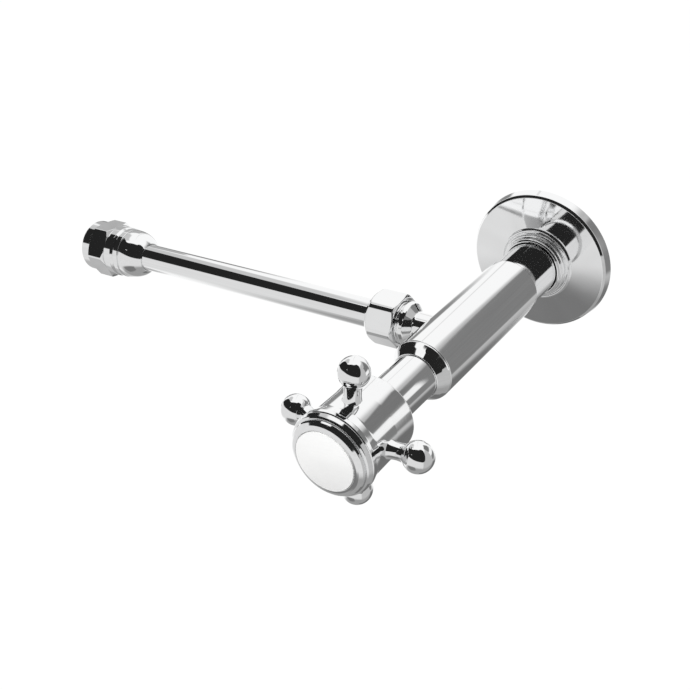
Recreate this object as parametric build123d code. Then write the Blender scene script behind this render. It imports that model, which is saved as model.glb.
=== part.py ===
from build123d import *
import os

# Cistern isolation valve. Millimetres, +Z up.
# The origin is the centre of the inlet pipe at the wall's face. The valve's axis runs
# along Y with the room towards -Y, and the side tube leaves towards -X.

# Driving dimensions
SUPPLY_TUBE_D = 10.0
SUPPLY_TUBE_WALL = 1.0
WALL_TO_OUTLET = 61.0
BODY_D = 20.7
PIPE_D = 19.2
PIPE_THREAD_D = 16.66
INLET_THREAD_LENGTH = 12.0
FLANGE_D = 51.6
TUBE_NUT_ACROSS_FLATS = 17.0
TUBE_NUT_TURN = 66.3
UNION_NUT_ACROSS_FLATS = 19.0
UNION_NUT_TURN = 54.9
SHROUD_D = 15.0
HUB_D = 25.4
HEAD_D = 27.2
INDEX_D = 19.3
BALL_D = 9.6
BALL_CIRCLE_R = 20.8
BALL_Y = -120.9
HANDLE_TURN_AT_REST = -4.2
ARM_COUNT = 4
VALVE_LIFT = 3.6

# Clearances
SLIDE_GAP = 0.3
RUNNING_GAP = 0.06
SCREW_GAP = 0.05
FACE_GAP = 0.05

# Stations along the valve's axis, from the wall into the room
COLLAR_FRONT = -9.4
BODY_BACK = -24.9
TAIL_SPIGOT_END = -37.0
SEAT_BORE_START = -48.0
SEAT_FLOOR = -54.5
SEAT_LIP = -55.5
DISC_BACK = -57.5
DISC_FRONT = -60.0
OUTLET_Y = -WALL_TO_OUTLET
BARREL_END = -66.0
BONNET_STEP = -72.0
GUIDE_TOP = -76.2
BODY_FRONT = -84.0
BONNET_FLANGE_FRONT = -85.0
STEM_END = -87.0
CAP_FRONT = -88.05
THRUST_SHOULDER = -92.05
O_RING_STATIONS = (-97.0, -101.5)
HUB_BACK = -109.0
NECK_END = -112.9
CIRCLIP_BACK = -113.25
SHROUD_END = -114.0
CIRCLIP_FRONT = -114.05
SQUARE_START = -116.5
WEB_BACK = -117.5
SPINDLE_TOP = -126.2
WEB_FRONT = -127.0
HUB_FRONT = -132.3
INDEX_LEDGE = -135.5
INDEX_EDGE = -136.6
INDEX_FRONT = -137.6

# Stations along the side tube, from the valve outwards
SPIGOT_INNER_END = -7.9
FLARE_START = -15.0
THREAD_START = -18.3
TUBE_NUT_INNER = -20.3
TUBE_START = -21.3
SPIGOT_MOUTH = -28.5
OLIVE_END = -30.3
TUBE_NUT_OUTER = -32.0
TAIL_DOME_START = -134.4
DOME_END = -142.6
TAIL_SHOULDER = -145.6
UNION_NUT_INNER = -146.0
TUBE_END = -147.5
UNION_CLIP_INNER = -150.2
UNION_HEX_START = -149.9
UNION_CLIP_OUTER = -151.2
TAIL_END = -152.5
UNION_THREAD_START = -154.6
UNION_HEX_END = -157.8
UNION_NUT_OUTER = -161.8

# Radii that two or more pieces share
BODY_R = BODY_D / 2
PIPE_R = PIPE_D / 2
TUBE_R = SUPPLY_TUBE_D / 2
TUBE_BORE_R = TUBE_R - SUPPLY_TUBE_WALL
WATERWAY_R = 6.4
TAIL_SPIGOT_R = 8.3
CHAMBER_R = 7.6
BODY_MOUTH_R = 8.4
OUTLET_STUB_R = 4.6
SPIGOT_THREAD_R = 7.4
BARREL_R = 7.0
BONNET_NECK_R = 6.5
BONNET_CAVITY_R = 5.4
GUIDE_ACROSS_FLATS = 10.7
SHAFT_R = 4.0
STEM_R = 3.0
O_RING_SECTION_R = 0.7
SPINDLE_SQUARE = 5.6
STUD_R = 1.5
SCREW_R = 1.95
CAP_SKIRT_R = 8.95
INDEX_STEM_R = 8.5
UNION_SPIGOT_R = 6.6
UNION_CLIP_GROOVE_R = 6.0

SIDE_AXIS = Axis((0, OUTLET_Y, 0), (1, 0, 0))


def turned(corners, radii=0.0):
    """Turned round the valve's axis, from (radius, y) corners and the rounding of each corner."""
    outline = FilletPolyline(*corners, radius=radii, close=True)
    return revolve(make_face(outline), Axis.Y)


def turned_side(corners, radii=0.0):
    """Turned round the side tube's axis, from (x, radius) corners and the rounding of each corner."""
    points = [(x, OUTLET_Y + r) for x, r in corners]
    outline = FilletPolyline(*points, radius=radii, close=True)
    return revolve(make_face(outline), SIDE_AXIS)


def sleeve(outer_r, inner_r, back, front):
    """A plain ring round the valve's axis between two stations."""
    return turned([(inner_r, back), (outer_r, back), (outer_r, front), (inner_r, front)])


def side_sleeve(outer_r, inner_r, start, end):
    """A plain ring round the side tube's axis between two stations."""
    return turned_side([(start, inner_r), (start, outer_r), (end, outer_r), (end, inner_r)])


def o_ring(centre_r, section_r, station):
    """A round-section ring round the valve's axis."""
    section = Plane.XY * Pos(centre_r, station) * Circle(section_r)
    return revolve(section, Axis.Y)


def prism(across_flats, back, front, sides, turn=0.0):
    """A bar of regular section along the valve's axis, by its size across flats."""
    plane = Plane(origin=(0, back, 0), x_dir=(1, 0, 0), z_dir=(0, -1, 0))
    section = RegularPolygon(across_flats / 2, sides, major_radius=False, rotation=turn)
    return extrude(plane * section, back - front)


def side_hexagon(across_flats, start, end, turn, corner_r):
    """A hexagonal bar along the side tube, with one corner at the turn from +Y towards +Z."""
    plane = Plane(origin=(start, OUTLET_Y, 0), x_dir=(0, 1, 0), z_dir=(-1, 0, 0))
    section = RegularPolygon(across_flats / 2, 6, major_radius=False, rotation=-turn)
    section = fillet(section.vertices(), corner_r)
    return extrude(plane * section, start - end)


# Wall side

def make_inlet_tail():
    """The pipe from the wall, threaded behind it and let into the body in front."""
    thread_r = PIPE_THREAD_D / 2
    tip = 1.0
    return turned(
        [
            (WATERWAY_R, INLET_THREAD_LENGTH),
            (thread_r - tip, INLET_THREAD_LENGTH),
            (thread_r, INLET_THREAD_LENGTH - tip),
            (thread_r, 0),
            (PIPE_R, 0),
            (PIPE_R, BODY_BACK),
            (TAIL_SPIGOT_R, BODY_BACK),
            (TAIL_SPIGOT_R, TAIL_SPIGOT_END),
            (WATERWAY_R, TAIL_SPIGOT_END),
        ]
    )


def make_wall_flange():
    """A dished plate with a stepped collar in front and a groove for its rubber ring inside."""
    rim_r = FLANGE_D / 2
    face_edge_r = rim_r - 1.4
    hollow_r = rim_r - 1.5
    boss_r = 13.6
    bore_r = PIPE_R + SLIDE_GAP
    groove_r = 11.3
    groove_back = -4.7
    groove_front = -6.9
    boss_back = -0.5
    outside = [
        (rim_r, 0),
        (rim_r - 0.6, -3.3),
        (face_edge_r, -4.05),
        (13.3, -4.75),
        (13.1, -6.1),
        (12.45, -6.1),
        (12.3, -5.65),
        (11.85, -5.65),
        (11.7, -7.3),
        (11.1, -7.3),
        (10.95, -8.5),
        (10.6, -8.5),
        (10.35, COLLAR_FRONT),
        (bore_r, COLLAR_FRONT),
    ]
    inside = [
        (bore_r, groove_front),
        (groove_r, groove_front),
        (groove_r, groove_back),
        (bore_r, groove_back),
        (bore_r, boss_back),
        (boss_r, boss_back),
        (boss_r + 0.4, -3.2),
        (hollow_r, -2.5),
        (hollow_r, 0),
    ]
    rounding = [0, 0.5, 0.3, 0.15, 0.3, 0.15, 0.1, 0.1, 0.3, 0.15, 0.2, 0.1, 0.15, 0.1]
    rounding += [0] * len(inside)
    return turned(outside + inside, rounding)


def make_flange_o_ring():
    section_r = 0.8
    station = -5.8
    return o_ring(PIPE_R + section_r + 0.02, section_r, station)


# Body

def make_valve_body():
    """The tube body: pipe socket, seat, chamber and threaded mouth, with a hole for the outlet."""
    socket_r = TAIL_SPIGOT_R + SCREW_GAP
    socket_end = TAIL_SPIGOT_END - 0.2
    back_chamfer = 0.8
    seat_hole_r = 4.4
    seat_cone_start = -45.0
    lip_r = 5.4
    body = turned(
        [
            (socket_r, BODY_BACK),
            (PIPE_R + 0.1, BODY_BACK),
            (BODY_R, BODY_BACK - back_chamfer),
            (BODY_R, BODY_FRONT),
            (BODY_MOUTH_R, BODY_FRONT),
            (BODY_MOUTH_R, BONNET_STEP),
            (CHAMBER_R, BONNET_STEP),
            (CHAMBER_R, SEAT_FLOOR),
            (lip_r, SEAT_FLOOR),
            (lip_r, SEAT_LIP),
            (seat_hole_r, SEAT_LIP),
            (seat_hole_r, SEAT_BORE_START),
            (WATERWAY_R, seat_cone_start),
            (WATERWAY_R, socket_end),
            (socket_r, socket_end),
        ],
        [0, 0.3, 0.3, 0.35] + [0] * 11,
    )
    return body - side_sleeve(OUTLET_STUB_R + SCREW_GAP, 0, 0, -BODY_D)


def make_outlet_spigot():
    """The stub in the body's side, flared to the thread of the tube nut, with the olive's cone."""
    bore_r = 3.6
    socket_r = TUBE_R + SCREW_GAP
    socket_end = TUBE_START + 0.1
    cone_r = 6.1
    cone_depth = 1.9
    return turned_side(
        [
            (SPIGOT_INNER_END, bore_r),
            (SPIGOT_INNER_END, OUTLET_STUB_R),
            (FLARE_START, OUTLET_STUB_R),
            (THREAD_START + 1.0, SPIGOT_THREAD_R - 0.3),
            (THREAD_START, SPIGOT_THREAD_R),
            (SPIGOT_MOUTH, SPIGOT_THREAD_R),
            (SPIGOT_MOUTH, cone_r),
            (SPIGOT_MOUTH + cone_depth, socket_r),
            (socket_end, socket_r),
            (socket_end, bore_r),
        ],
        [0, 0, 1.2, 0.8, 0.2, 0.3, 0, 0, 0, 0],
    )


# Headwork

def make_bonnet():
    """The headwork barrel: guide hexagon, cavity for the spindle's collar and the shaft's bore."""
    thread_r = BODY_MOUTH_R - SCREW_GAP
    flange_r = 9.0
    shaft_bore_r = SHAFT_R + RUNNING_GAP
    washer_space = 1.05
    flange_back = BODY_FRONT - FACE_GAP
    barrel = turned(
        [
            (shaft_bore_r, NECK_END),
            (BONNET_NECK_R, NECK_END),
            (BONNET_NECK_R, BONNET_FLANGE_FRONT),
            (flange_r, BONNET_FLANGE_FRONT),
            (flange_r, flange_back),
            (thread_r, flange_back),
            (thread_r, BONNET_STEP - washer_space),
            (BARREL_R, BONNET_STEP - washer_space),
            (BARREL_R, BARREL_END),
            (BONNET_CAVITY_R, BARREL_END),
            (BONNET_CAVITY_R, THRUST_SHOULDER),
            (shaft_bore_r, THRUST_SHOULDER),
        ],
        [0, 0.5] + [0] * 10,
    )
    guide_gap = 0.2
    return barrel - prism(GUIDE_ACROSS_FLATS + guide_gap, BARREL_END + 1, GUIDE_TOP, 6)


def make_bonnet_washer():
    thickness = 1.0
    return sleeve(BODY_MOUTH_R - 0.1, BARREL_R + 0.1, BONNET_STEP, BONNET_STEP - thickness)


def make_body_cap():
    """The bright cone that covers the body's mouth and lets the shroud through."""
    hole_r = SHROUD_D / 2 + FACE_GAP
    cavity_r = 9.1
    shoulder_r = BODY_R - 0.05
    middle = (9.2, -86.1)
    back = BODY_FRONT - FACE_GAP
    inner_step = BONNET_FLANGE_FRONT - 0.1
    return turned(
        [
            (cavity_r, back),
            (shoulder_r, back),
            (shoulder_r - 0.05, back - 0.35),
            middle,
            (hole_r + 0.3, CAP_FRONT),
            (hole_r, CAP_FRONT),
            (hole_r, inner_step),
            (cavity_r, inner_step),
        ],
        [0, 0.15, 0.8, 8.0, 0.3, 0, 0, 0],
    )


def make_headwork_shroud():
    outer_r = SHROUD_D / 2
    inner_r = BONNET_NECK_R + FACE_GAP
    back = BONNET_FLANGE_FRONT - FACE_GAP
    outline = [(inner_r, back), (outer_r, back), (outer_r, SHROUD_END), (inner_r, SHROUD_END)]
    return turned(outline, [0, 0, 0.3, 0])


def make_spindle():
    """Thrust collar, shaft with two ring grooves and a clip groove, and the handle's square."""
    thrust_r = BONNET_CAVITY_R - 0.1
    thread_hole_r = STEM_R + SCREW_GAP
    foot = GUIDE_TOP + 0.2
    hole_end = STEM_END - VALVE_LIFT - 0.8
    thrust_front = THRUST_SHOULDER + FACE_GAP
    groove_half = O_RING_SECTION_R + 0.2
    groove_r = SHAFT_R - 2 * O_RING_SECTION_R
    clip_groove_r = 3.3
    screw_hole_r = SCREW_R + SCREW_GAP
    screw_hole_depth = 9.0
    outline = [
        (thread_hole_r, foot),
        (thrust_r, foot),
        (thrust_r, thrust_front),
        (SHAFT_R, thrust_front),
    ]
    for station in O_RING_STATIONS:
        outline += [
            (SHAFT_R, station + groove_half),
            (groove_r, station + groove_half),
            (groove_r, station - groove_half),
            (SHAFT_R, station - groove_half),
        ]
    outline += [
        (SHAFT_R, CIRCLIP_BACK + FACE_GAP),
        (clip_groove_r, CIRCLIP_BACK + FACE_GAP),
        (clip_groove_r, CIRCLIP_FRONT - FACE_GAP),
        (SHAFT_R, CIRCLIP_FRONT - FACE_GAP),
        (SHAFT_R, SQUARE_START),
        (0, SQUARE_START),
        (0, hole_end),
        (thread_hole_r, hole_end),
    ]
    square = prism(SPINDLE_SQUARE, SQUARE_START, SPINDLE_TOP, 4, HANDLE_TURN_AT_REST)
    screw_hole = sleeve(screw_hole_r, 0, SPINDLE_TOP + screw_hole_depth, SPINDLE_TOP)
    return turned(outline) + square - screw_hole


def make_spindle_o_rings():
    squeeze = 0.03
    centre_r = SHAFT_R - O_RING_SECTION_R + squeeze
    return Compound(children=[o_ring(centre_r, O_RING_SECTION_R, y) for y in O_RING_STATIONS])


def make_spindle_circlip():
    outer_r = 5.4
    inner_r = 3.35
    opening = 2.6
    middle = (CIRCLIP_BACK + CIRCLIP_FRONT) / 2
    gap = Pos(outer_r, middle, 0) * Box(outer_r, 2.0, opening)
    return sleeve(outer_r, inner_r, CIRCLIP_BACK, CIRCLIP_FRONT) - gap


def make_jumper():
    """The valve disc with its stud, guide hexagon and the stem that screws in the spindle."""
    disc_r = 6.4
    guide_end = GUIDE_TOP + VALVE_LIFT + 1.1
    stud_end = -52.4
    core = turned(
        [
            (0, stud_end),
            (STUD_R, stud_end),
            (STUD_R, DISC_BACK),
            (disc_r, DISC_BACK),
            (disc_r, DISC_FRONT),
            (STEM_R, DISC_FRONT),
            (STEM_R, STEM_END),
            (0, STEM_END),
        ],
        [0, 0.3, 0, 0.3, 0.3, 0, 0.4, 0],
    )
    return core + prism(GUIDE_ACROSS_FLATS, DISC_FRONT + 0.1, guide_end, 6)


WASHER_BACK = SEAT_LIP - 0.1


def make_jumper_washer():
    outer_r = 5.9
    return sleeve(outer_r, STUD_R + SCREW_GAP, WASHER_BACK, DISC_BACK + FACE_GAP)


def make_jumper_nut():
    across_flats = 5.0
    back = -53.2
    nut = prism(across_flats, back, WASHER_BACK + FACE_GAP, 6)
    return nut - sleeve(STUD_R + SCREW_GAP, 0, back + 1, DISC_BACK)


# Handle

# The hub's outside from its back rim to the groove behind the head, and its corners' rounding
HUB_OUTLINE = [
    (HUB_D / 2, HUB_BACK),
    (HUB_D / 2 - 0.15, -118.0),
    (HUB_D / 2, -127.6),
    (HEAD_D / 2, -130.8),
    (HEAD_D / 2, HUB_FRONT + 0.25),
    (HEAD_D / 2 - 0.3, HUB_FRONT),
]
HUB_ROUNDING = [1.0, 12.0, 3.0, 1.0, 0, 0]


def make_handle_hub():
    """The hub: a skirt over the shroud, a web on the spindle's square and a recess in front."""
    skirt_bore_r = SHROUD_D / 2 + 0.5
    recess_r = CAP_SKIRT_R + SCREW_GAP
    inside = [
        (recess_r, HUB_FRONT),
        (recess_r, WEB_FRONT),
        (0, WEB_FRONT),
        (0, WEB_BACK),
        (skirt_bore_r, WEB_BACK),
        (skirt_bore_r, HUB_BACK),
    ]
    hub = turned(HUB_OUTLINE + inside, HUB_ROUNDING + [0] * len(inside))
    square_hole = SPINDLE_SQUARE + 0.1
    return hub - prism(square_hole, WEB_BACK + 1, WEB_FRONT - 1, 4, HANDLE_TURN_AT_REST)


def hub_envelope():
    """The hub without its hollows, to seat the arms on."""
    inside = [(0, HUB_FRONT), (0, HUB_BACK)]
    return turned(HUB_OUTLINE + inside, HUB_ROUNDING + [0, 0])


# Each station of an arm: its distance from the axis, its place along the axis and its radius
ARM_STATIONS = (
    (11.2, -122.3, 3.3),
    (12.6, -122.0, 2.85),
    (14.4, -121.75, 2.6),
    (17.4, -121.4, 3.05),
)


def make_arm(angle):
    """A waisted arm on the hub that leans back a little and ends in a ball."""
    neck = Spline(*[(r, y) for r, y, _ in ARM_STATIONS])
    sections = []
    for r, y, radius in ARM_STATIONS:
        along = neck.tangent_at(Vector(r, y))
        sections.append(Plane(origin=(r, y, 0), z_dir=along) * Circle(radius))
    arm = loft(sections) + Pos(BALL_CIRCLE_R, BALL_Y, 0) * Sphere(BALL_D / 2)
    return Rot(0, -angle, 0) * arm - hub_envelope()


def make_index_cap():
    """The screw-in head: a rounded ring, a fine groove and the bezel round the index."""
    outer_r = HEAD_D / 2
    hole_r = INDEX_D / 2 + 0.1
    ledge_r = INDEX_STEM_R + 0.1
    skirt_bore_r = 7.9
    skirt_end = -128.8
    skirt_step = -131.5
    groove_r = 12.1
    return turned(
        [
            (skirt_bore_r, skirt_end),
            (CAP_SKIRT_R, skirt_end),
            (CAP_SKIRT_R, HUB_FRONT),
            (outer_r - 0.4, HUB_FRONT),
            (outer_r, HUB_FRONT - 0.35),
            (outer_r - 0.25, -133.2),
            (groove_r + 0.35, -134.3),
            (groove_r, -134.35),
            (groove_r, -134.55),
            (groove_r + 0.25, -134.6),
            (11.5, -135.65),
            (10.6, INDEX_EDGE + 0.35),
            (hole_r, INDEX_EDGE + 0.2),
            (hole_r, INDEX_LEDGE),
            (ledge_r, INDEX_LEDGE),
            (ledge_r, skirt_step),
            (skirt_bore_r, skirt_step),
        ],
        [0, 0, 0, 0, 0.15, 1.0, 0.1, 0, 0, 0.1, 1.2, 1.0, 0.15, 0, 0, 0, 0],
    )


def make_ceramic_index():
    """The white button: a low dome on a stem with a groove for its rubber ring."""
    rim_r = INDEX_D / 2
    rim_back = INDEX_LEDGE - FACE_GAP
    stem_end = -132.6
    groove_back = -133.8
    groove_front = -134.8
    groove_r = INDEX_STEM_R - 0.8
    rise = INDEX_EDGE - INDEX_FRONT
    dome_r = (rim_r**2 + rise**2) / (2 * rise)
    button = turned(
        [
            (0, stem_end),
            (INDEX_STEM_R, stem_end),
            (INDEX_STEM_R, groove_back),
            (groove_r, groove_back),
            (groove_r, groove_front),
            (INDEX_STEM_R, groove_front),
            (INDEX_STEM_R, rim_back),
            (rim_r, rim_back),
            (rim_r, INDEX_FRONT),
            (0, INDEX_FRONT),
        ]
    )
    return button & Pos(0, INDEX_FRONT + dome_r, 0) * Sphere(dome_r)


def make_index_o_ring():
    section_r = 0.42
    station = -134.3
    return o_ring(INDEX_STEM_R - 0.35, section_r, station)


def make_handle_screw():
    """A slotted cheese-head screw that holds the hub on the spindle."""
    head_r = 3.8
    head_front = -130.4
    shank_end = -118.6
    slot_width = 1.0
    slot_depth = 1.2
    seat = WEB_FRONT - 0.85
    screw = turned(
        [
            (0, shank_end),
            (SCREW_R, shank_end),
            (SCREW_R, seat),
            (head_r, seat),
            (head_r, head_front),
            (0, head_front),
        ],
        [0, 0.4, 0, 0, 0.9, 0],
    )
    return screw - Pos(0, head_front, 0) * Box(3 * head_r, 2 * slot_depth, slot_width)


def make_handle_screw_washer():
    outer_r = 4.6
    return sleeve(outer_r, SCREW_R + 0.15, WEB_FRONT - FACE_GAP, WEB_FRONT - 0.8)


# Side tube

def make_supply_tube():
    return side_sleeve(TUBE_R, TUBE_BORE_R, TUBE_START, TUBE_END)


def make_olive():
    """The brass ring that the nut squeezes on the tube, coned to both ends."""
    inner_r = TUBE_R + 0.02
    crown_r = 5.95
    inner_end = -27.2
    return turned_side(
        [
            (inner_end, inner_r),
            (inner_end, inner_r + 0.23),
            (SPIGOT_MOUTH, crown_r),
            (SPIGOT_MOUTH - 0.5, crown_r),
            (OLIVE_END, inner_r + 0.18),
            (OLIVE_END, inner_r),
        ]
    )


def make_compression_nut():
    """The tube nut: a hexagon with rounded corners and a domed outer end."""
    corner_r = 1.8
    thread_r = SPIGOT_THREAD_R + SCREW_GAP
    thread_end = -29.0
    cone_end = OLIVE_END - 0.3
    tube_hole_r = TUBE_R + 0.1
    widest_r = 9.9
    bar = side_hexagon(TUBE_NUT_ACROSS_FLATS, TUBE_NUT_INNER, TUBE_NUT_OUTER, TUBE_NUT_TURN, corner_r)
    envelope = turned_side(
        [
            (TUBE_NUT_INNER, thread_r),
            (TUBE_NUT_INNER, 8.55),
            (TUBE_NUT_INNER - 0.9, widest_r),
            (TUBE_NUT_OUTER + 2.6, widest_r),
            (TUBE_NUT_OUTER, 7.0),
            (TUBE_NUT_OUTER, tube_hole_r),
            (cone_end, tube_hole_r),
            (thread_end, 6.2),
            (thread_end, thread_r),
        ],
        [0, 0.15, 0.5, 1.8, 0.8, 0, 0, 0, 0],
    )
    return bar & envelope


def make_tail_cap():
    """The domed end of the tube, with a ring, and the spigot that carries the union nut."""
    ring_r = 9.3
    ring_start = DOME_END - 0.5
    groove_r = 8.75
    dome_r = 9.15
    dome_length = 10.2
    socket_r = TUBE_R + 0.04
    socket_end = TUBE_END - 0.1
    body = turned_side(
        [
            (DOME_END, TUBE_BORE_R),
            (DOME_END, groove_r),
            (ring_start, groove_r),
            (ring_start, ring_r),
            (TAIL_SHOULDER, ring_r),
            (TAIL_SHOULDER, UNION_SPIGOT_R),
            (UNION_CLIP_INNER, UNION_SPIGOT_R),
            (UNION_CLIP_INNER, UNION_CLIP_GROOVE_R),
            (UNION_CLIP_OUTER, UNION_CLIP_GROOVE_R),
            (UNION_CLIP_OUTER, UNION_SPIGOT_R),
            (TAIL_END, UNION_SPIGOT_R),
            (TAIL_END, TUBE_BORE_R),
        ],
        [0, 0, 0, 0.5, 0.4, 0.3, 0, 0, 0, 0, 0.3, 0],
    )
    centre = (DOME_END, OUTLET_Y)
    curve = EllipticalCenterArc(centre, dome_length, dome_r, start_angle=0, arc_size=90)
    outline = [Line(centre, curve @ 0), curve, Line(curve @ 1, centre)]
    dome = revolve(make_face(outline), SIDE_AXIS)
    nose_cut = side_sleeve(dome_r, 0, DOME_END + dome_length + 1, TAIL_DOME_START)
    socket = side_sleeve(socket_r, 0, TAIL_DOME_START + 1, socket_end)
    bore = side_sleeve(TUBE_BORE_R, 0, socket_end + 1, TAIL_END - 1)
    return body + dome - nose_cut - socket - bore


def make_union_nut():
    """The captive nut: a chamfered hexagon between two round collars, threaded inside."""
    corner_r = 0.9
    collar_r = 9.5
    lip_r = UNION_SPIGOT_R + 0.15
    relief_r = 8.6
    relief_start = UNION_CLIP_INNER + 0.3
    chamfer_r = 9.6
    chamfer = 1.1
    widest_r = 11.2
    bar = side_hexagon(UNION_NUT_ACROSS_FLATS, UNION_HEX_START, UNION_HEX_END, UNION_NUT_TURN, corner_r)
    envelope = turned_side(
        [
            (UNION_HEX_START, 0),
            (UNION_HEX_START, chamfer_r),
            (UNION_HEX_START - chamfer, widest_r),
            (UNION_HEX_END + chamfer, widest_r),
            (UNION_HEX_END, chamfer_r),
            (UNION_HEX_END, 0),
        ]
    )
    collars = turned_side(
        [
            (UNION_NUT_INNER, 0),
            (UNION_NUT_INNER, collar_r - 0.8),
            (UNION_NUT_INNER - 0.8, collar_r),
            (UNION_NUT_OUTER, collar_r),
            (UNION_NUT_OUTER, 0),
        ],
        [0, 0.15, 0.2, 0.5, 0],
    )
    lip_hole = side_sleeve(lip_r, 0, UNION_NUT_INNER + 1, relief_start - 1)
    relief = side_sleeve(relief_r, 0, relief_start, UNION_THREAD_START)
    thread = side_sleeve(PIPE_THREAD_D / 2, 0, UNION_THREAD_START + 1, UNION_NUT_OUTER - 1)
    return (bar & envelope) + collars - lip_hole - relief - thread


def make_union_circlip():
    outer_r = 7.6
    opening = 3.0
    start = UNION_CLIP_INNER - FACE_GAP
    end = UNION_CLIP_OUTER + FACE_GAP
    gap = Pos((start + end) / 2, OUTLET_Y, outer_r) * Box(2.0, opening, 4.0)
    return side_sleeve(outer_r, UNION_CLIP_GROOVE_R + 0.03, start, end) - gap


def make_union_washer():
    outer_r = 8.0
    inner_r = 4.4
    thickness = 1.85
    start = TAIL_END - FACE_GAP
    return side_sleeve(outer_r, inner_r, start, start - thickness)


def main():
    os.makedirs("parts", exist_ok=True)
    pieces = {
        "inlet_tail": make_inlet_tail(),
        "wall_flange": make_wall_flange(),
        "flange_o_ring": make_flange_o_ring(),
        "valve_body": make_valve_body(),
        "outlet_spigot": make_outlet_spigot(),
        "bonnet": make_bonnet(),
        "bonnet_washer": make_bonnet_washer(),
        "body_cap": make_body_cap(),
        "headwork_shroud": make_headwork_shroud(),
        "spindle": make_spindle(),
        "spindle_o_rings": make_spindle_o_rings(),
        "spindle_circlip": make_spindle_circlip(),
        "jumper": make_jumper(),
        "jumper_washer": make_jumper_washer(),
        "jumper_nut": make_jumper_nut(),
        "handle_hub": make_handle_hub(),
        "index_cap": make_index_cap(),
        "ceramic_index": make_ceramic_index(),
        "index_o_ring": make_index_o_ring(),
        "handle_screw": make_handle_screw(),
        "handle_screw_washer": make_handle_screw_washer(),
        "supply_tube": make_supply_tube(),
        "olive": make_olive(),
        "compression_nut": make_compression_nut(),
        "tail_cap": make_tail_cap(),
        "union_nut": make_union_nut(),
        "union_circlip": make_union_circlip(),
        "union_washer": make_union_washer(),
    }
    for number in range(ARM_COUNT):
        angle = HANDLE_TURN_AT_REST + number * 360 / ARM_COUNT
        pieces[f"handle_arm_{number + 1}"] = make_arm(angle)
    for name, piece in pieces.items():
        export_step(piece, f"parts/{name}.step")


main()
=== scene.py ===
"""A cistern isolation valve: its polished skins, threads and finishes, and the studio around it."""

import bpy
import numpy as np
from mathutils import Matrix, Vector


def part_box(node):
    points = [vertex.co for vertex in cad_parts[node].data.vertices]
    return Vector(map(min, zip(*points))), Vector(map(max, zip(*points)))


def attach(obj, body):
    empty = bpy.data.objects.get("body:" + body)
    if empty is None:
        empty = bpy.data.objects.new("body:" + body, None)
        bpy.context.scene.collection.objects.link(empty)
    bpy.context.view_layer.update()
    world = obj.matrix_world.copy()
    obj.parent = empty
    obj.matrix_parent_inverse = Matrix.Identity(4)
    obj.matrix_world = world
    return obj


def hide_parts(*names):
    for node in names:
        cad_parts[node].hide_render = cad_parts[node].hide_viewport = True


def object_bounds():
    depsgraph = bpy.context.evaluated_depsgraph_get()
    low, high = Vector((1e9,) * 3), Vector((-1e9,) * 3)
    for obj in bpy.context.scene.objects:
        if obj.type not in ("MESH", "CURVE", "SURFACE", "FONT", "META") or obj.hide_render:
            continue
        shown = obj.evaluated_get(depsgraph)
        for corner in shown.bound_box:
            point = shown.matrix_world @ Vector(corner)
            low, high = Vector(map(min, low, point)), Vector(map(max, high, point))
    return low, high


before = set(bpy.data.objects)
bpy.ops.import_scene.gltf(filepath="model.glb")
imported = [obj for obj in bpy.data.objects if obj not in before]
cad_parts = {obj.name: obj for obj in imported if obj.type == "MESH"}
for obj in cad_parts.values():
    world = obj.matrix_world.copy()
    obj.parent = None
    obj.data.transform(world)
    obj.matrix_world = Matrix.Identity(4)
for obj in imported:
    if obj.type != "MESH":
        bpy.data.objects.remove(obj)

bl_info = {
    "name": "Cistern isolation valve",
    "version": (1, 0, 0),
    "blender": (4, 5, 0),
    "location": "View3D > Sidebar > Valve",
    "description": "Builds the skins and finishes of a cistern isolation valve and its studio",
    "category": "Mesh",
}

CAD_BOX = [list(corner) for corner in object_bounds()]

# The script's own unit is the millimetre, and a mesh is in metres
MM = 0.001
X, Y, Z = 0, 1, 2

# How finely the surfaces are divided
TURNS = 216
HEXAGON_ARC_STEPS = 12
HEXAGON_FLAT_STEPS = 22
ARC_STEP = np.radians(11)
THREAD_STEPS = 12
SHARP_EDGE = np.radians(40)

# An edge that has no rounding of its own, the row that stands beside each arc, and the shares
# of a side that the row and the arc may take
EDGE_ROUND = 0.06
SUPPORT = 0.1
SUPPORT_SHARE = 0.04
ARC_SHARE = 0.45

# A rounding smaller than this has the fewest steps
SMALL_ROUND = 0.12
FEWEST_STEPS = 3

# Places closer than this are the same
SAME = 1e-6

# A thread's flat at its crest and its root, as shares of half a pitch, the shares of a pitch over
# which it fades and to which it is cut, and the depth of the tube nut's finer thread
THREAD_FLAT = 0.14
THREAD_FADE = 0.8
THREAD_DEPTH = 0.6134
FINE_THREAD_DEPTH = 0.55

# Columns across a hexagon's flat: the ones beside its corner and where the even ones begin, as
# shares of its width. Rows along it, as shares of its length
FLAT_EDGE = (0.0, 0.02)
FLAT_START = 0.06
FLAT_ROWS = (0.01, 0.5, 0.99)

# Steps of a nut's rounded crease, and the least share of the way to it that stays straight
CREASE_STEPS = 5
STRAIGHT_SHARE = 0.3

# A rise too small to see, which keeps the radii of an envelope in order
RISE = 1e-9


def span(node, axis):
    """The lowest and highest place of a node along an axis, in millimetres."""
    low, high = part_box(node)
    return low[axis] / MM, high[axis] / MM


def width(node, axis):
    """A node's size along an axis, in millimetres."""
    low, high = span(node, axis)
    return high - low


SIDE_Y = sum(span("supply_tube", Y)) / 2


# Sizes and colours that a user would change

def length(name, description, default):
    """A size in metres whose default is given in millimetres."""
    return bpy.props.FloatProperty(
        name=name, description=description, default=default * MM, min=0, unit="LENGTH", precision=5
    )


def colour(name, description, default):
    """A colour property."""
    return bpy.props.FloatVectorProperty(
        name=name, description=description, default=default, min=0, max=1, size=3, subtype="COLOR"
    )


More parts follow.
